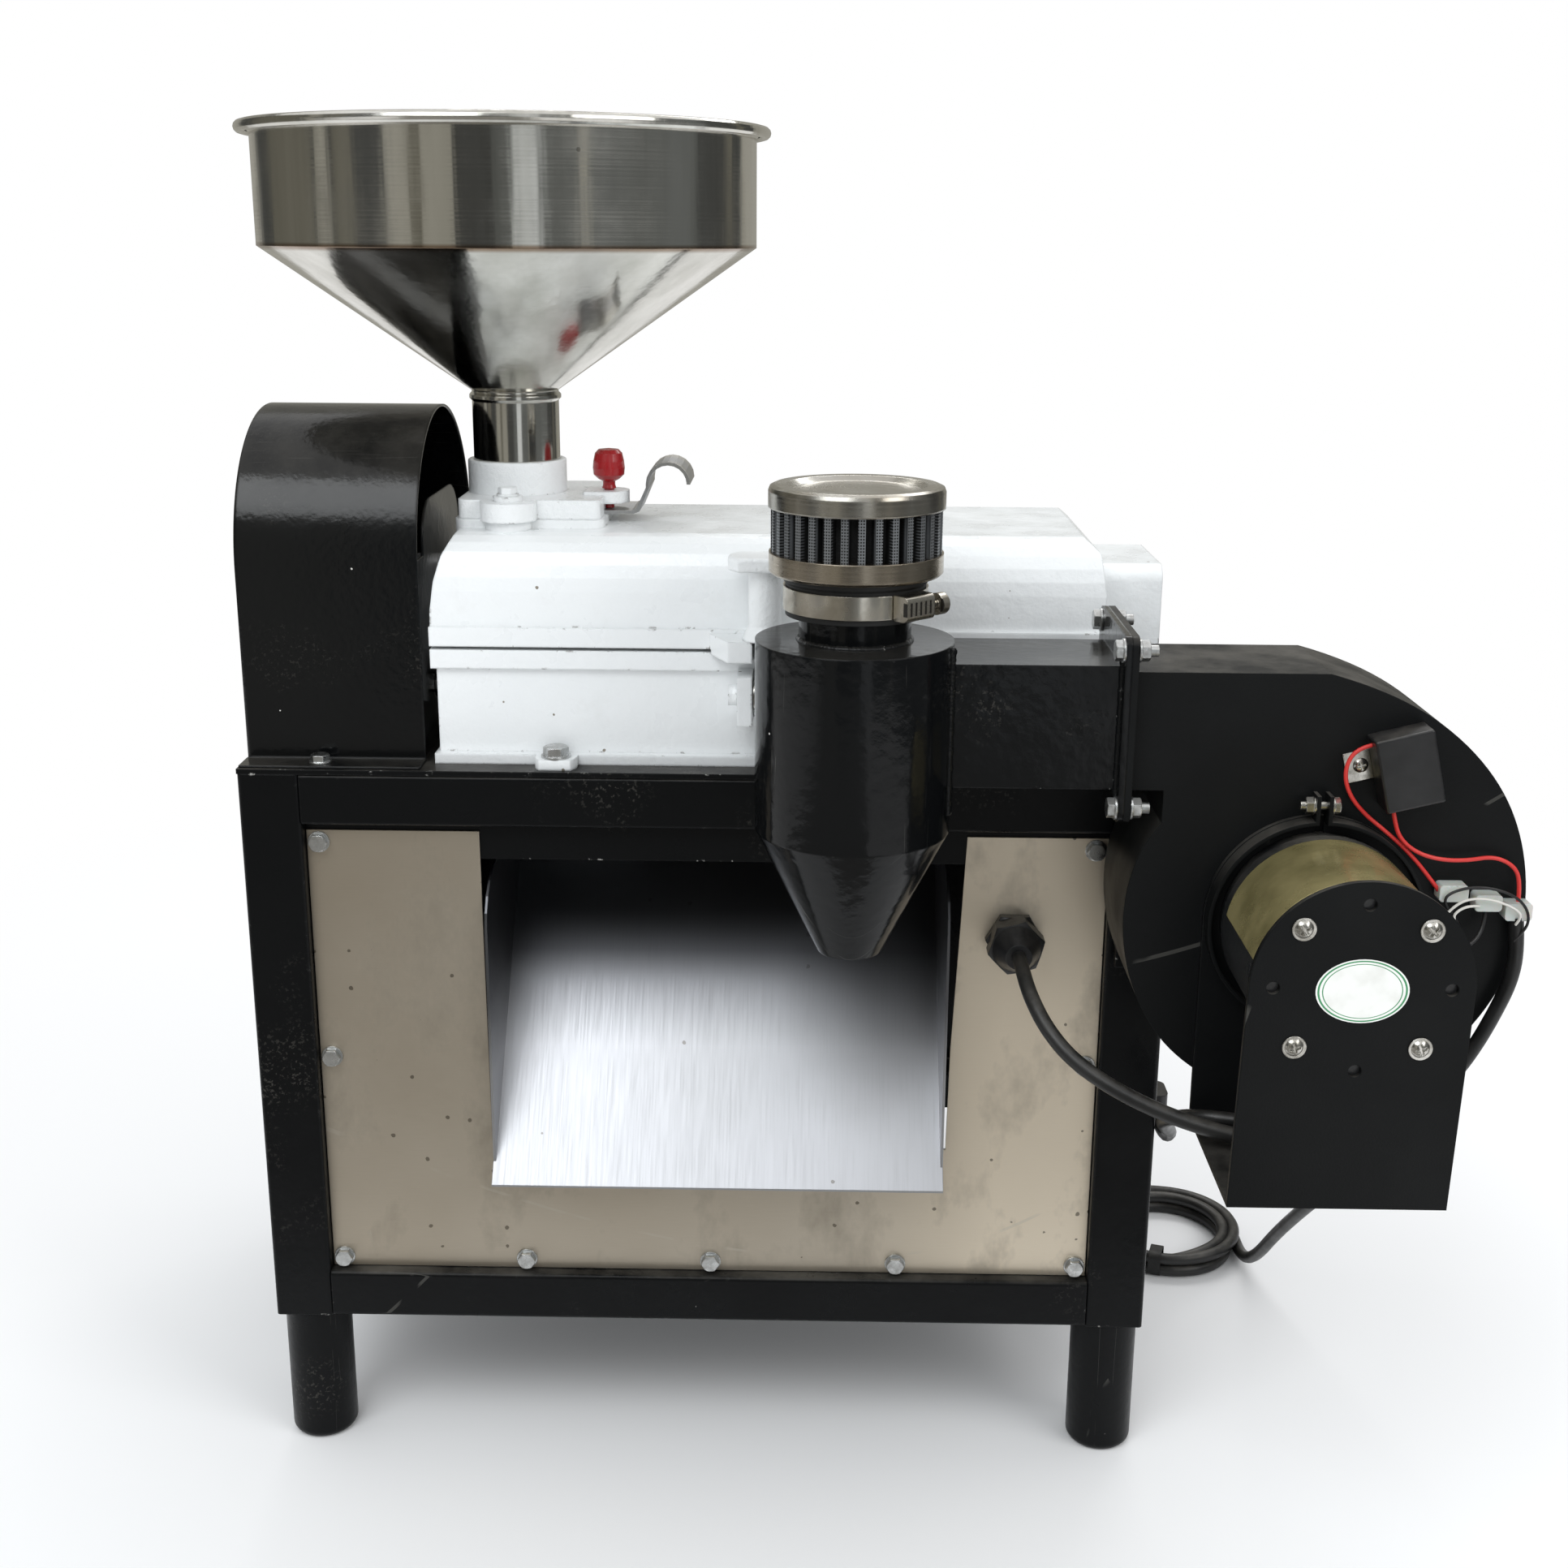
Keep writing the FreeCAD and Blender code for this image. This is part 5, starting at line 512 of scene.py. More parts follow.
def polished_steel(name, axis, tint, dull, weld=None, low=0.07, high=0.2):
    """Spun and polished steel round an axis, with upright clouds of polish and painted reflection, and a
    brown weld line if its height is given.
    """
    material, tree, sockets = finish(name, metallic=1.0)
    _, radius, height, local = round_axis(tree, axis)
    upright = noise(tree, stretch(tree, local, (1.0, 1.0, 0.06)), 26.0, 4.0, 0.6)
    along = add(tree, "CombineXYZ", {2: calc(tree, "ADD", height, radius)}).outputs[0]
    rings = noise(tree, along, 900.0, 2.0)
    # Painted reflection, partly polishing marks: upright streaks of lighter and darker colour.
    polish_and_painted_reflection = blend(tree, span(tree, upright, 0.35, 0.65), srgb(tint), srgb(dull))
    if weld is not None:
        far = calc(tree, "ABSOLUTE", calc(tree, "SUBTRACT", height, weld))
        line = span(tree, far, *WELD_FADE)
        burnt = blend(tree, noise(tree, local, 90.0, 3.0), srgb("6b4a34"), srgb("8d7558"))
        polish_and_painted_reflection = blend(tree, calc(tree, "MULTIPLY", line, 0.8), polish_and_painted_reflection, burnt)
    spots = use(tree, specks, Scale=90.0, Size=0.12, Share=0.04)["Mask"]
    feed(tree, sockets["Base Color"], blend(tree, calc(tree, "MULTIPLY", spots, 0.5), polish_and_painted_reflection, srgb("6a645c")))
    smear = span(tree, noise(tree, local, 18.0, 5.0, 0.65), 0.35, 0.7, low, high)
    feed(tree, sockets["Roughness"], calc(tree, "ADD", smear, span(tree, rings, 0.4, 0.6, 0.0, 0.05)))
    waves = calc(tree, "ADD", upright, calc(tree, "MULTIPLY", rings, 0.03))
    bump(tree, sockets, waves, 0.0012, 0.35, 0.0008)
    return material


hopper_steel = polished_steel("hopper_steel", HOPPER_AXIS, "dad8d2", "bcbab2", CONE_TOP)
dress(hopper_steel, "hopper")
CAP_LOW, CAP_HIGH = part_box("filter_cap")
FILTER_AXIS = (CAP_LOW + CAP_HIGH) * 0.5
cap_steel = polished_steel("cap_steel", FILTER_AXIS, "bcbab4", "a29c90", low=0.16, high=0.28)
dress(cap_steel, "filter_cap")
ring_steel = polished_steel("ring_steel", FILTER_AXIS, "b8ae9f", "958b7c", low=0.2, high=0.32)
dress(ring_steel, "filter_ring")
print("polished steels:", 3)

# %% [markdown]
# A worm-drive clamp has slots pressed through its band where the worm bites. They
# are dark bars in angle round the filter's axis, under the worm's housing only.

# %% Hose clamp
SLOTS_ROUND = 84.0
BAND_Z = 0.554
SLOT_HALF = 0.0034
WORM_AT = math.radians(-44.0)
WORM_HALF = math.radians(15.0)


def clamp_finish():
    """A bright band with dark slots under the worm."""
    material, tree, sockets = finish("clamp_steel")
    angle, _, height, local = round_axis(tree, FILTER_AXIS)
    bar = calc(tree, "GREATER_THAN", calc(tree, "SINE", calc(tree, "MULTIPLY", angle, SLOTS_ROUND)), 0.3)
    off = calc(tree, "ABSOLUTE", calc(tree, "SUBTRACT", height, BAND_Z))
    on_band = calc(tree, "LESS_THAN", off, SLOT_HALF)
    beside = calc(tree, "ABSOLUTE", calc(tree, "SUBTRACT", angle, WORM_AT))
    housed = calc(tree, "LESS_THAN", beside, WORM_HALF)
    slots = calc(tree, "MULTIPLY", calc(tree, "MULTIPLY", bar, on_band), housed)
    cloud = span(tree, noise(tree, local, 70.0, 4.0), 0.35, 0.65)
    tone = blend(tree, cloud, srgb("d2cdc2"), srgb("aaa396"))
    feed(tree, sockets["Base Color"], blend(tree, slots, tone, srgb("17140f")))
    feed(tree, sockets["Metallic"], calc(tree, "SUBTRACT", 1.0, slots))
    feed(tree, sockets["Roughness"], span(tree, cloud, 0.0, 1.0, 0.18, 0.34))
    bump(tree, sockets, calc(tree, "SUBTRACT", 1.0, slots), 0.0005, 0.6, 0.0006)
    return material


clamp_steel = clamp_finish()
dress(clamp_steel, "hose_clamp")
print("finish", clamp_steel.name)

# %% [markdown]
# Turned and plated parts are small, so their finish matters through its highlight:
# turning marks on shafts, a dull crystal mottling on zinc, a casting's grey on iron.

# %% Bare metals
def bare_metal(name, tint, dull, low, high, pattern, rust=0.0, depth=0.0001):
    """A metal whose tone and gloss follow one noise, with rust in patches."""
    material, tree, sockets = finish(name)
    where = place_of(tree)
    cloud = noise(tree, where, pattern, 4.0, 0.6)
    tone = blend(tree, span(tree, cloud, 0.35, 0.65), srgb(tint), srgb(dull))
    patchy = span(tree, noise(tree, where, 55.0, 5.0, 0.7), 0.52, 0.66, 0.0, rust)
    feed(tree, sockets["Base Color"], blend(tree, patchy, tone, srgb("6b4630")))
    feed(tree, sockets["Metallic"], span(tree, patchy, 0.0, 1.0, 1.0, 0.1))
    gloss = span(tree, cloud, 0.3, 0.7, low, high)
    feed(tree, sockets["Roughness"], calc(tree, "MAXIMUM", gloss, calc(tree, "MULTIPLY", patchy, 0.8)))
    bump(tree, sockets, cloud, depth, 0.4, 0.0007)
    return material


steel = bare_metal("machined_steel", "c3c2bf", "96948f", 0.2, 0.36, 120.0, 0.12)
dress(steel, "shaft_bearings", "roller_shaft", "motor_shaft", "blower_shaft", "swing_bolt")
dress(steel, "hulling_blade")
zinc = bare_metal("zinc", "d6d8d8", "b2b3b1", 0.2, 0.42, 210.0, 0.12)
dress(zinc, "m6_bolts", "m8_bolts", "flange_bolts")
nickel = bare_metal("nickel", "d2d0ca", "aba8a0", 0.14, 0.28, 160.0, 0.08)
dress(nickel, "bracket_screws", "blower_screws", "capacitor_tab")
iron = bare_metal("iron", "484745", "343332", 0.5, 0.7, 70.0, 0.5, 0.0003)
dress(iron, "hulling_roller", "feed_screw", "roller_pulley", "motor_pulley")
print("bare metals:", 4)

# %% [markdown]
# Plastics, rubbers and wires. Each has its own sheen: the red knob is glossy and
# lightly scuffed, rubber is dull with a bloom of pale dust, and the wire
# connectors let a little light through.

# %% Plastic and rubber
def plastic(name, colour, worn, low, high, grain, depth=0.00008, dust_amount=0.2, **values):
    """A plastic or a rubber with wear, settled dust and a fine skin."""
    material, tree, sockets = finish(name, **values)
    where = place_of(tree)
    tone = blend(tree, span(tree, noise(tree, where, grain * 0.2, 4.0), 0.35, 0.7), srgb(colour), srgb(worn))
    dusty = use(tree, dust, Scale=60.0, Amount=dust_amount)["Mask"]
    feed(tree, sockets["Base Color"], blend(tree, dusty, tone, srgb("8b867d")))
    feed(tree, sockets["Roughness"], span(tree, noise(tree, where, grain * 0.6, 4.0), 0.3, 0.7, low, high))
    bump(tree, sockets, use(tree, skin, Scale=grain, Grain=0.4)["Height"], depth, 0.5, 0.0008)
    return material


red_plastic = plastic("red_plastic", "a5141c", "8c1016", 0.22, 0.36, 240.0, dust_amount=0.12, coat_weight=0.3)
dress(red_plastic, "gate_knob")
black_plastic = plastic("black_plastic", "141415", "202021", 0.28, 0.42, 260.0)
dress(black_plastic, "cable_gland", "capacitor")
dull_rubber = plastic("dull_rubber", "0f1010", "191918", 0.5, 0.66, 180.0, 0.00015, 0.2)
dress(dull_rubber, "filter_neck", "drive_belts", "plug")
cord_jacket = plastic("cord_jacket", "151515", "222221", 0.36, 0.5, 200.0, 0.0001, 0.3)
dress(cord_jacket, "mains_cord", "cord_coil")
sleeve_jacket = plastic("sleeve_jacket", "121212", "1d1d1d", 0.28, 0.44, 150.0, 0.0003, 0.2)
wire_red = plastic("wire_red", "c82a27", "d63a34", 0.32, 0.45, 300.0, dust_amount=0.1)
wire_black = plastic("wire_black", "131314", "1f1f20", 0.32, 0.45, 300.0, dust_amount=0.1)
wire_white = plastic("wire_white", "d8d6d0", "c9c6bf", 0.35, 0.5, 300.0, dust_amount=0.1)
dress(wire_red, "motor_leads")
connector = plastic(
    "connector", "dcdcd6", "cfcfc8", 0.25, 0.4, 200.0,
    dust_amount=0.1, transmission_weight=0.2, subsurface_weight=0.2,
)
dress(connector, "wire_connectors")
print("plastics and rubbers:", 9)

# %% [markdown]
# The two motors are painted castings. Their paint is thin and grey, and the
# blower's can is dark under its label.

# %% Motor paints
def motor_paint(name, colour, worn, low, high):
    """Thin grey paint, rubbed at its edges and dusty on top."""
    material, tree, sockets = finish(name, coat_weight=0.15, coat_roughness=0.3)
    where = place_of(tree)
    tone = blend(tree, noise(tree, where, 16.0, 4.0), srgb(colour), srgb(worn))
    edge = use(tree, edges, Radius=0.002)["Edge"]
    rub = calc(tree, "MULTIPLY", edge, span(tree, noise(tree, where, 150.0, 3.0, 0.7), 0.6, 0.66))
    worn_tone = blend(tree, rub, tone, srgb("a5a39d"))
    dusty = use(tree, dust, Scale=18.0, Amount=0.6)["Mask"]
    feed(tree, sockets["Base Color"], blend(tree, dusty, worn_tone, srgb("8a857b")))
    feed(tree, sockets["Roughness"], span(tree, noise(tree, where, 30.0, 4.0), 0.3, 0.7, low, high))
    bump(tree, sockets, use(tree, skin, Scale=300.0, Grain=0.4)["Height"], 0.0003, 0.5, 0.0015)
    return material


drive_paint = motor_paint("drive_paint", "3b4247", "4a5156", 0.34, 0.5)
dress(drive_paint, "drive_motor")
can_paint = motor_paint("can_paint", "1a1b1c", "272829", 0.26, 0.4)
dress(can_paint, "blower_motor")
print("motor paints:", 2)

# %% [markdown]
# The filter's folded cloth is black with a silver wire mesh woven over it. The
# mesh is two sets of fine lines, one in angle and one in height round the filter's
# axis, and it lies on the outer folds only.

# %% Pleated cloth
THREADS_ROUND = 104.0
THREADS_UP = 2094.0
FOLD_IN = 0.0405
FOLD_OUT = 0.0428


def pleat_mesh():
    """Silver threads over black cloth, on the outer folds."""
    material, tree, sockets = finish("pleat_mesh")
    angle, radius, height, _ = round_axis(tree, FILTER_AXIS)
    around = calc(tree, "ABSOLUTE", calc(tree, "SINE", calc(tree, "MULTIPLY", angle, THREADS_ROUND)))
    along = calc(tree, "ABSOLUTE", calc(tree, "SINE", calc(tree, "MULTIPLY", height, THREADS_UP)))
    lattice = calc(tree, "MAXIMUM", span(tree, around, 0.72, 0.9), span(tree, along, 0.72, 0.9))
    thread = calc(tree, "MULTIPLY", lattice, span(tree, radius, FOLD_IN, FOLD_OUT))
    feed(tree, sockets["Base Color"], blend(tree, thread, srgb("0b0c0d"), srgb("8f9295")))
    feed(tree, sockets["Metallic"], calc(tree, "MULTIPLY", thread, 0.9))
    feed(tree, sockets["Roughness"], span(tree, thread, 0.0, 1.0, 0.75, 0.35))
    bump(tree, sockets, lattice, 0.0002, 0.5, 0.0004)
    return material


pleat_finish = pleat_mesh()
dress(pleat_finish, "filter_element")
print("nodes:", len(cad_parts))

# %% [markdown]
# ## Soft pieces and small pieces
# A wire or a cord is one NURBS spline of order three, whose control points are the
# corners of its route. It then runs smoothly and cuts a little inside each corner.

# %% A round wire
def wire(name, points, diameter, material, body="stand"):
    """A round wire along its control points, given in millimetres on the machine."""
    curve = bpy.data.curves.new(name, "CURVE")
    curve.dimensions = "3D"
    curve.bevel_depth = diameter * 0.5
    curve.bevel_resolution = 4
    curve.use_fill_caps = True
    curve.resolution_u = 6
    curve.materials.append(material)
    spline = curve.splines.new("NURBS")
    spline.points.add(len(points) - 1)
    for point, place in zip(spline.points, points):
        point.co = (*at(*place), 1.0)
    spline.order_u = 3
    spline.use_endpoint_u = True
    piece = bpy.data.objects.new(name, curve)
    bpy.context.scene.collection.objects.link(piece)
    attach(piece, body)
    return piece


# %% [markdown]
# The mains cord leaves the gland straight, droops, passes in front of the blower's
# bracket, goes down behind it and ends in a neat coil on the floor. The coil has
# three and a quarter turns in two layers, and each station gives its angle, radius
# and height.

# %% Mains cord
CORD_D = 0.0085
CORD_EXIT = (443.5, -23.0, 340.0)
cord_points = [
    CORD_EXIT, (443.5, -43.0, 340.0), (445.5, -63.0, 334.0), (453.0, -80.0, 322.0),
    (466.0, -93.0, 309.5), (488.0, -105.0, 298.0), (514.0, -115.0, 289.0), (542.0, -124.0, 283.5),
    (572.0, -129.0, 280.0), (602.0, -129.5, 280.5), (630.0, -122.0, 284.0), (652.0, -104.0, 281.0),
    (666.0, -78.0, 266.0), (669.0, -46.0, 243.0), (665.0, -10.0, 214.0), (657.0, 28.0, 180.0),
    (651.0, 66.0, 145.0), (648.0, 106.0, 108.0), (646.8, 146.0, 71.0), (646.9, 182.0, 36.0),
    (647.0, 212.0, 14.0), (647.15, 238.0, 5.2),
]
COIL_X = 596.0
COIL_Y = 262.0
TURN_POINTS = 16
PULL_IN = math.cos(math.pi / TURN_POINTS)
COIL_STATIONS = (
    (0, 51.25, 4.3), (300, 51.25, 4.3), (360, 42.75, 4.3), (600, 42.75, 4.3), (660, 42.75, 12.8),
    (900, 42.75, 12.8), (960, 51.25, 12.8), (1015, 50.6, 13.2), (1085, 50.6, 13.2), (1125, 51.25, 12.8),
    (1170, 51.25, 12.8),
)


def station(angle):
    """Radius and height of the coil at an angle, between its stations."""
    for (a0, r0, z0), (a1, r1, z1) in zip(COIL_STATIONS, COIL_STATIONS[1:]):
        if angle <= a1:
            part = (angle - a0) / (a1 - a0)
            return r0 + (r1 - r0) * part, z0 + (z1 - z0) * part
    return COIL_STATIONS[-1][1:]


step = 360.0 / TURN_POINTS
for count in range(int(COIL_STATIONS[-1][0] / step) + 1):
    turned = math.radians(count * step)
    radius, level = station(count * step)
    reach = radius / PULL_IN
    cord_points.append((COIL_X + reach * math.cos(turned), COIL_Y + reach * math.sin(turned), level))
cord_points += [
    (586.5, 313.0, 13.1), (573.0, 309.0, 14.0), (561.5, 301.0, 15.6), (553.6, 290.0, 17.9),
    (552.0, 276.0, 21.1),
]
mains = wire("mains_cord_soft", cord_points, CORD_D, cord_jacket)
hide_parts("mains_cord", "cord_coil")
print("cord control points:", len(cord_points))

# %% [markdown]
# Straps, labels and stickers are thin bands: a line of points, each with the
# direction that it faces, given a width and a thickness.

# %% A thin band
def band(name, line, across, width, thick, material, closed=False, body="stand"):
    """A band along places, each with its outward direction, as wide as asked along across."""
    mesh = bmesh.new()
    rings = []
    for place, outward in line:
        corners = ((-1, 0.0), (1, 0.0), (1, 1.0), (-1, 1.0))
        rings.append([
            mesh.verts.new(place + across * (side * width * 0.5) + outward * (rise * thick))
            for side, rise in corners
        ])
    pairs = list(zip(rings, rings[1:])) + ([(rings[-1], rings[0])] if closed else [])
    for one, two in pairs:
        for k in range(4):
            mesh.faces.new((one[k], one[(k + 1) % 4], two[(k + 1) % 4], two[k]))
    if not closed:
        mesh.faces.new(rings[0])
        mesh.faces.new(rings[-1])
    bmesh.ops.recalc_face_normals(mesh, faces=mesh.faces)
    return place_mesh(name, mesh, material, body)


def place_mesh(name, mesh, material, body="stand"):
    """Turn a bmesh into an object that rides on a body."""
    data = bpy.data.meshes.new(name)
    mesh.to_mesh(data)
    mesh.free()
    data.materials.append(material)
    data.shade_smooth()
    data.set_sharp_from_angle(angle=math.radians(35))
    piece = bpy.data.objects.new(name, data)
    bpy.context.scene.collection.objects.link(piece)
    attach(piece, body)
    return piece


def box_loop(half_a, half_b, corner, count=5):
    """A rounded rectangle as points with outward directions."""
    line = []
    for quarter, (sa, sb) in enumerate(((1, 1), (-1, 1), (-1, -1), (1, -1))):
        for k in range(count):
            turned = math.radians(90.0 * quarter + 90.0 * k / (count - 1))
            facing = (math.cos(turned), math.sin(turned))
            a = sa * (half_a - corner) + facing[0] * corner
            b = sb * (half_b - corner) + facing[1] * corner
            line.append((a, b, facing))
    return line


# %% [markdown]
# A flat black tie holds the coil together at its front.

# %% Coil tie
TIE_ANGLE = math.radians(252.0)
outward = Vector((math.cos(TIE_ANGLE), math.sin(TIE_ANGLE), 0.0))
upward = Vector((0.0, 0.0, 1.0))
TIE_Z = 9.1
TIE_REACH = 47.0
TIE_HALF_DEEP = 8.7
TIE_HALF_TALL = 8.6
TIE_CORNER = 4.2
TIE_WIDE = 9.0
TIE_THICK = 0.5
tie_centre = at(COIL_X, COIL_Y, TIE_Z) + outward * (TIE_REACH * MM)
tie_line = [
    (tie_centre + outward * a + upward * b, outward * face[0] + upward * face[1])
    for a, b, face in box_loop(TIE_HALF_DEEP * MM, TIE_HALF_TALL * MM, TIE_CORNER * MM)
]
tie_across = outward.cross(upward)
tie = band("coil_tie", tie_line, tie_across, TIE_WIDE * MM, TIE_THICK * MM, dull_rubber, closed=True)
print("tie and plug go with the cord")

# %% [markdown]
# The blower's leads start at the capacitor and end in the connectors. Behind them a
# black sleeve carries the supply round the motor to the back of the stand.

# %% Leads
FAN_X = 589.0
FAN_Z = 387.5


def from_fan(*points):
    """Places given from the fan's axis."""
    return [(FAN_X + x, y, FAN_Z + z) for x, y, z in points]


LEAD_D = 0.0022
upper = wire("lead_upper", from_fan(
    (21.1, -88.5, 96.4), (13.0, -88.5, 94.4), (8.5, -87.5, 83.5), (11.5, -86.5, 70.5), (21.0, -86.0, 59.0),
    (34.0, -86.0, 49.0), (47.5, -85.5, 37.0), (59.0, -85.0, 23.5), (64.5, -85.0, 16.5)), LEAD_D, wire_red)
lower = wire("lead_lower", from_fan(
    (34.5, -88.5, 64.2), (36.4, -88.5, 55.4), (40.0, -88.0, 46.5), (49.0, -87.5, 39.0), (61.5, -87.0, 35.0),
    (76.0, -86.5, 34.5), (90.0, -86.0, 37.0), (101.5, -85.5, 31.5), (105.5, -85.0, 22.0),
    (105.5, -85.0, 10.5)), LEAD_D, wire_red)
tail = wire("lead_black", from_fan(
    (89.0, -85.0, 9.0), (89.0, -86.5, -1.5), (82.0, -91.5, -9.5), (71.0, -97.5, -11.0), (60.0, -101.5, -8.0),
    (47.5, -103.0, -5.0)), LEAD_D, wire_black)
sleeve = wire("lead_sleeve", from_fan(
    (105.0, -85.5, 4.0), (107.5, -86.0, -13.5), (106.0, -86.5, -31.5), (99.5, -87.0, -49.5),
    (91.0, -88.5, -67.5), (79.5, -92.0, -84.0), (63.0, -97.0, -95.5), (43.0, -102.0, -103.0),
    (17.0, -106.5, -107.5), (-11.0, -108.5, -108.0), (-36.0, -106.5, -105.0), (-58.0, -97.0, -107.0),
    (-68.0, -76.0, -119.5), (-64.0, -46.0, -137.5), (-51.0, -14.0, -158.5), (-48.0, 22.0, -180.5),
    (-48.0, 59.0, -180.5)), 0.008, sleeve_jacket)
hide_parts("motor_leads")
loop = wire("lead_loop", from_fan(
    (75.6, -90.6, -2.8), (71.3, -90.6, 5.7), (66.2, -90.6, 10.8), (65.3, -90.8, 16.0), (70.5, -91.0, 19.6),
    (80.7, -91.0, 22.0), (92.7, -91.0, 20.4), (102.9, -90.8, 16.0), (108.9, -90.6, 9.1), (110.2, -90.4, 1.4),
    (106.4, -89.5, -5.4), (104.0, -88.5, -9.0)), 0.0015, wire_black)
pale = wire("lead_pale", from_fan(
    (67.0, -91.8, 7.4), (71.3, -91.8, 12.6), (79.0, -91.8, 15.8), (90.1, -91.8, 15.1), (101.2, -91.6, 10.8),
    (106.6, -91.0, 5.7), (103.6, -89.6, 0.6)), 0.0014, wire_white)
short = wire("lead_short", from_fan(
    (73.9, -92.0, -2.5), (69.6, -92.2, 4.9), (72.2, -92.2, 9.1), (78.1, -91.6, 11.7), (84.0, -89.8, 10.8)),
    0.0014, wire_white)
print("leads:", 7)

# %% [markdown]
# Two small parts belong on the blower: a gold foil round the top of the can, and a
# white oval sticker with a green double rim on the bracket. Neither carries text.

# %% Foil and sticker
CAN_R = 50.0


def foil_finish():
    """Cloudy gold foil."""
    material, tree, sockets = finish("gold_foil", metallic=0.6)
    where = place_of(tree)
    cloudy = span(tree, noise(tree, where, 40.0, 3.0), 0.35, 0.65)
    feed(tree, sockets["Base Color"], blend(tree, cloudy, srgb("bdb07c"), srgb("958b5e")))
    feed(tree, sockets["Roughness"], span(tree, noise(tree, where, 25.0, 4.0), 0.3, 0.7, 0.16, 0.34))
    bump(tree, sockets, use(tree, skin, Scale=160.0, Grain=0.2)["Height"], 0.0003, 0.4, 0.0004)
    return material


FOIL_STEPS = 32
FOIL_Y = -134.0
FOIL_WIDE = 64.0
FOIL_THICK = 0.25
FOIL_FROM = 10.0
FOIL_SWEEP = 160.0
foil_line = []
for count in range(FOIL_STEPS + 1):
    turned = math.radians(FOIL_FROM + FOIL_SWEEP * count / FOIL_STEPS)
    facing = Vector((math.cos(turned), 0.0, math.sin(turned)))
    foil_line.append((at(FAN_X, FOIL_Y, FAN_Z) + facing * (CAN_R * MM), facing))
AXIS_Y = Vector((0.0, 1.0, 0.0))
foil = band("can_foil", foil_line, AXIS_Y, FOIL_WIDE * MM, FOIL_THICK * MM, foil_finish())

STICKER_W = 44.6
STICKER_H = 32.6
RIM_POINTS = 48
STICKER_AT = at(FAN_X, -178.0, 386.5)


def sticker_finish():
    """White paper with two green rims and a smudge."""
    material, tree, sockets = finish("sticker", coat_weight=0.2)
    local = stretch(tree, place_of(tree), (1.0, 1.0, 1.0), shift=tuple(-STICKER_AT))
    parts = add(tree, "SeparateXYZ", {0: local}).outputs
    across = calc(tree, "DIVIDE", parts[0], STICKER_W * 0.5 * MM)
    upright = calc(tree, "DIVIDE", parts[2], STICKER_H * 0.5 * MM)
    flat_square = calc(tree, "MULTIPLY", across, across)
    tall_square = calc(tree, "MULTIPLY", upright, upright)
    ring = calc(tree, "SQRT", calc(tree, "ADD", flat_square, tall_square))
    rims = 0.0
    for centre, wide in ((0.94, 0.022), (0.85, 0.012)):
        off = calc(tree, "ABSOLUTE", calc(tree, "SUBTRACT", ring, centre))
        rims = calc(tree, "MAXIMUM", rims, calc(tree, "LESS_THAN", off, wide))
    smudge = span(tree, noise(tree, place_of(tree), 70.0, 4.0), 0.45, 0.75, 0.0, 0.4)
    paper = blend(tree, smudge, srgb("e9eae6"), srgb("b9b8ae"))
    feed(tree, sockets["Base Color"], blend(tree, rims, paper, srgb("3f8a5c")))
    feed(tree, sockets["Roughness"], span(tree, smudge, 0.0, 0.4, 0.3, 0.6))
    return material


mesh = bmesh.new()
rim = []
for count in range(RIM_POINTS):
    turned = math.tau * count / RIM_POINTS
    spread = (math.cos(turned) * STICKER_W * 0.5 * MM, 0.0, math.sin(turned) * STICKER_H * 0.5 * MM)
    rim.append(mesh.verts.new(STICKER_AT + Vector(spread)))
face = mesh.faces.new(rim)
grown = bmesh.ops.extrude_face_region(mesh, geom=[face])["geom"]
raised = [v for v in grown if isinstance(v, bmesh.types.BMVert)]
bmesh.ops.translate(mesh, verts=raised, vec=(0.0, -0.00025, 0.0))
bmesh.ops.recalc_face_normals(mesh, faces=mesh.faces)
sticker = place_mesh("oval_sticker", mesh, sticker_finish())
print("foil and sticker")

# %% [markdown]
# The suction box and the cyclone are welded by hand. A weld bead is a row of
# flattened drops, each a little different in size.

# %% Weld beads
def bead(name, line, size, material):
    """A row of overlapping drops along places, with their outward direction."""
    mesh = bmesh.new()
    for count, (place, outward) in enumerate(line):
        wobble = 0.5 + 0.5 * math.sin(count * 2.4) * math.cos(count * 1.1)
        radius = size * (0.8 + 0.4 * wobble)
        turn = outward.to_track_quat("Z", "Y").to_matrix().to_4x4()
        flat = Matrix.Diagonal((1.0, 1.0, 0.4, 1.0))
        here = Matrix.Translation(place) @ turn @ flat
        bmesh.ops.create_uvsphere(mesh, u_segments=10, v_segments=6, radius=radius, matrix=here)
    return place_mesh(name, mesh, material)


def between(first, last, outward, pitch=2.1):
    """Evenly spaced places from one point to another."""
    reach = Vector(last) - Vector(first)
    count = max(2, int(reach.length / pitch))
    return [(at(*(Vector(first) + reach * (k / count))), outward) for k in range(count + 1)]


CYCLONE_X = 346.9
CYCLONE_Y = -65.0
CYCLONE_R = 51.5
FRONT_JOIN_X = CYCLONE_X + math.sqrt(CYCLONE_R ** 2 - 14.0 ** 2)
corner_side = Vector((0.5, -0.85, 0.0)).normalized()
joint = between((FRONT_JOIN_X + 0.4, -79.6, 443.0), (FRONT_JOIN_X + 0.4, -79.6, 528.0), corner_side)
weld = bead("duct_weld", joint, 0.0021, cyclone_paint)
flange_side = Vector((-0.6, -0.8, 0.0)).normalized()
seam = between((482.6, -79.6, 442.0), (482.6, -79.6, 530.0), flange_side)
seam_bead = bead("flange_weld", seam, 0.0018, cyclone_paint)
NECK_DROPS = 90
NECK_R = 29.6
NECK_Z = 532.0
neck = []
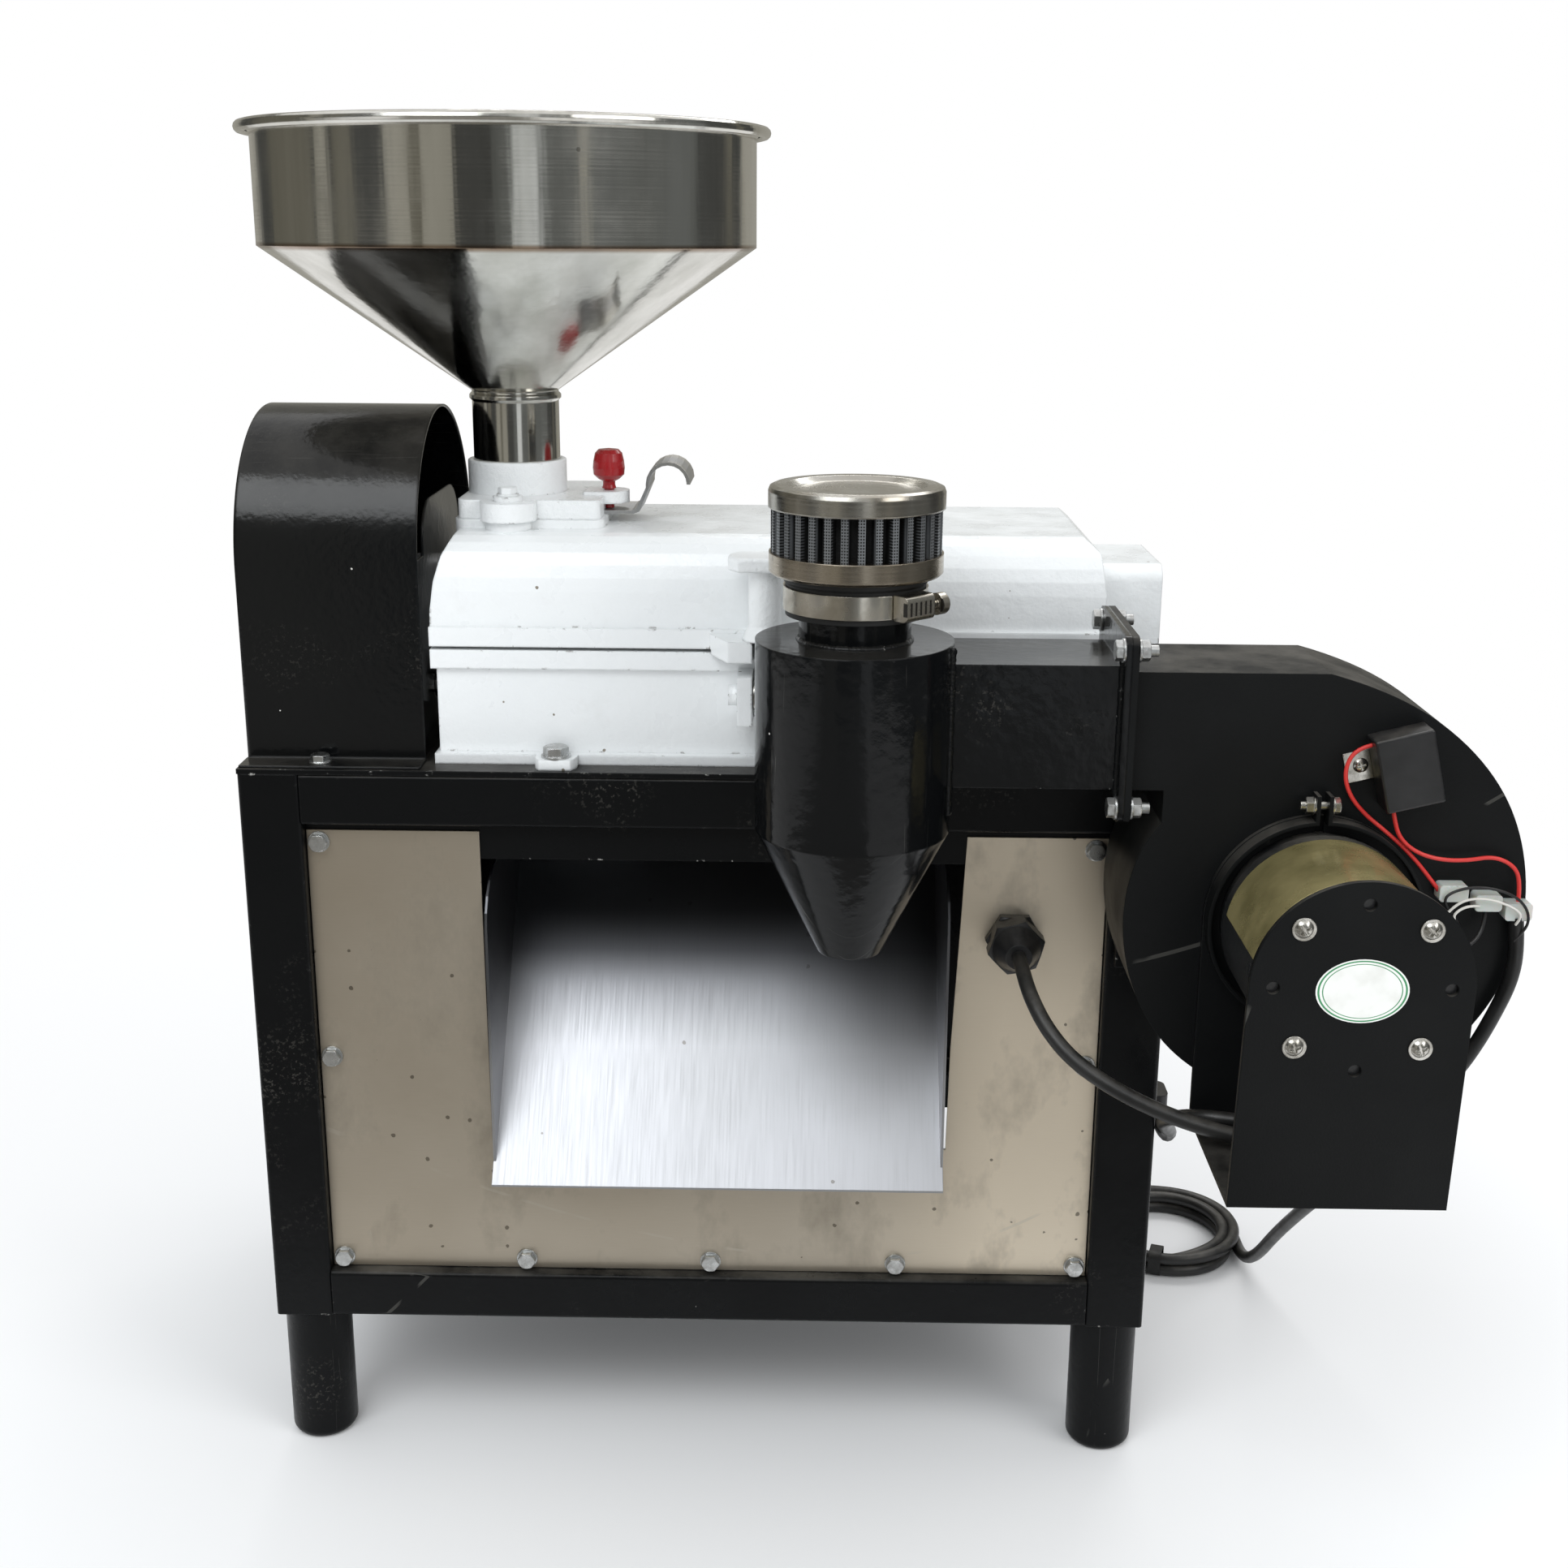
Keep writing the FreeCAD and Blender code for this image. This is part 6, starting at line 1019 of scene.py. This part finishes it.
for count in range(NECK_DROPS):
    turned = math.tau * count / NECK_DROPS
    facing = Vector((math.cos(turned), math.sin(turned), 0.6)).normalized()
    x = CYCLONE_X + NECK_R * math.cos(turned)
    y = CYCLONE_Y + NECK_R * math.sin(turned)
    neck.append((at(x, y, NECK_Z), facing))
neck_bead = bead("neck_weld", neck, 0.0018, cyclone_paint)
print("weld beads:", 3)

# %% [markdown]
# ## Floor and light
# The machine stands on a pale floor in a white room. Polished steel and black
# paint show whatever surrounds them, so a dim ring of wall stands round the scene,
# with darker and brighter strips that draw the upright bands on the hopper.

# %% World and floor
world = bpy.data.worlds.new("studio")
bpy.context.scene.world = world
world.use_nodes = True


def seen_white(tree, lit):
    """White where the camera, metal or glass sees it, and the given colour as light."""
    path = add(tree, "LightPath").outputs
    direct = calc(tree, "MAXIMUM", path["Is Camera Ray"], path["Is Transmission Ray"])
    seen = calc(tree, "MAXIMUM", direct, path["Is Glossy Ray"])
    return blend(tree, seen, srgb(lit), srgb("ffffff")), seen


sky = world.node_tree.nodes["Background"]
feed(world.node_tree, sky.inputs["Color"], seen_white(world.node_tree, "e4e6e8")[0])
sky.inputs["Strength"].default_value = 1.0


def sheet(name, corners, material, hidden=False):
    """A flat four-cornered stage piece, which only reflections may see if hidden."""
    mesh = bpy.data.meshes.new(name)
    mesh.from_pydata([tuple(c) for c in corners], [], [(0, 1, 2, 3)])
    mesh.materials.append(material)
    piece = bpy.data.objects.new(name, mesh)
    bpy.context.scene.collection.objects.link(piece)
    if hidden:
        piece.visible_camera = False
        piece.visible_shadow = False
        piece.visible_diffuse = False
    return piece


def glow(name, red, green, blue):
    """A plain tone that gives out its own brightness, for what metal reflects."""
    material, tree, sockets = finish(name, roughness=1.0, emission_strength=1.0)
    sockets["Base Color"].default_value = srgb("000000")
    sockets["Emission Color"].default_value = (red, green, blue, 1.0)
    sockets["Specular IOR Level"].default_value = 0.0
    return material


# %% [markdown]
# Close to the machine the floor is ordinary pale paint that takes its shadow. Away
# from it, what the camera and the metal see turns smoothly into plain white.

# %% Floor
WHITE_FROM = 0.5
WHITE_TO = 1.5
floor_paint, tree, sockets = finish("floor_paint", roughness=0.9, emission_strength=1.0)
sockets["Specular IOR Level"].default_value = 0.0
away = add(tree, "VectorMath", {0: place_of(tree)}, operation="LENGTH").outputs["Value"]
white_part = calc(tree, "MULTIPLY", span(tree, away, WHITE_FROM, WHITE_TO), seen_white(tree, "000000")[1])
feed(tree, sockets["Base Color"], blend(tree, white_part, srgb("f6f6f6"), srgb("000000")))
feed(tree, sockets["Emission Color"], blend(tree, white_part, srgb("000000"), srgb("ffffff")))
sheet("floor", [(-9, -5, 0), (9, -5, 0), (9, 14, 0), (-9, 14, 0)], floor_paint)

WALL_R = 2.3
WALL_TOP = 2.28
walls = {
    "warm": glow("wall_warm", 0.165, 0.158, 0.132), "cool": glow("wall_cool", 0.145, 0.152, 0.15),
    "dark": glow("wall_dark", 0.07, 0.072, 0.07), "pale": glow("wall_pale", 0.36, 0.35, 0.31),
    "bright": glow("wall_bright", 0.75, 0.78, 0.8),
}
strips = (
    (-180, -135, "pale"), (-135, -118, "dark"), (-118, -84, "warm"), (-84, -81, "dark"), (-81, -74, "pale"),
    (-74, -70, "dark"), (-70, -60, "warm"), (-60, -44, "dark"), (-44, -34, "pale"), (-34, -28, "warm"),
    (-28, -14, "pale"),
    (-14, 2, "dark"), (2, 11, "cool"), (11, 22, "bright"), (22, 40, "cool"), (40, 43, "pale"),
    (43, 100, "cool"), (100, 122, "dark"), (122, 128, "warm"), (128, 138, "dark"), (138, 180, "pale"),
)
for count, (first, last, tone) in enumerate(strips):
    ends = []
    for turned in (math.radians(first), math.radians(last)):
        ends.append((HOPPER_AXIS.x + WALL_R * math.sin(turned), HOPPER_AXIS.y - WALL_R * math.cos(turned)))
    foot = [(x, y, 0.0) for x, y in ends]
    top = [(x, y, WALL_TOP) for x, y in reversed(ends)]
    sheet("wall_" + str(count), foot + top, walls[tone], True)
MAT_Z = 0.001
mat_corners = [(-1.3, -2.2, MAT_Z), (0.4, -2.2, MAT_Z), (0.4, -0.3, MAT_Z), (-1.3, -0.3, MAT_Z)]
sheet("mat", mat_corners, glow("mat_grey", 0.33, 0.32, 0.30), True)
print("stage pieces:", 2 + len(strips))

# %% [markdown]
# One wide lamp from above and slightly left is the key. A weaker one from the
# right fills, and a long strip behind draws the bright line along top edges.

# %% Lamps
def lamp(name, place, target, wide, high, watts, colour=(1.0, 1.0, 1.0)):
    """A rectangular lamp aimed at a point."""
    light = bpy.data.lights.new(name, "AREA")
    light.shape = "RECTANGLE"
    light.size = wide
    light.size_y = high
    light.energy = watts
    light.color = colour
    holder = bpy.data.objects.new(name, light)
    bpy.context.scene.collection.objects.link(holder)
    holder.matrix_world = Matrix.Translation(place) @ (
        (Vector(target) - Vector(place)).to_track_quat("-Z", "Y").to_matrix().to_4x4()
    )
    return holder


lamp("key_lamp", (-0.9, -1.6, 2.3), (0.0, 0.0, 0.45), 1.5, 1.2, 24.0, (0.94, 0.975, 1.0))
lamp("fill_lamp", (1.5, -1.1, 1.5), (0.0, 0.0, 0.4), 1.2, 1.0, 13.0)
lamp("strip_lamp", (0.2, 1.5, 2.0), (0.0, 0.0, 0.6), 1.8, 0.4, 12.0)
print("lamps:", 3)

# %% End
print("scene dressed")
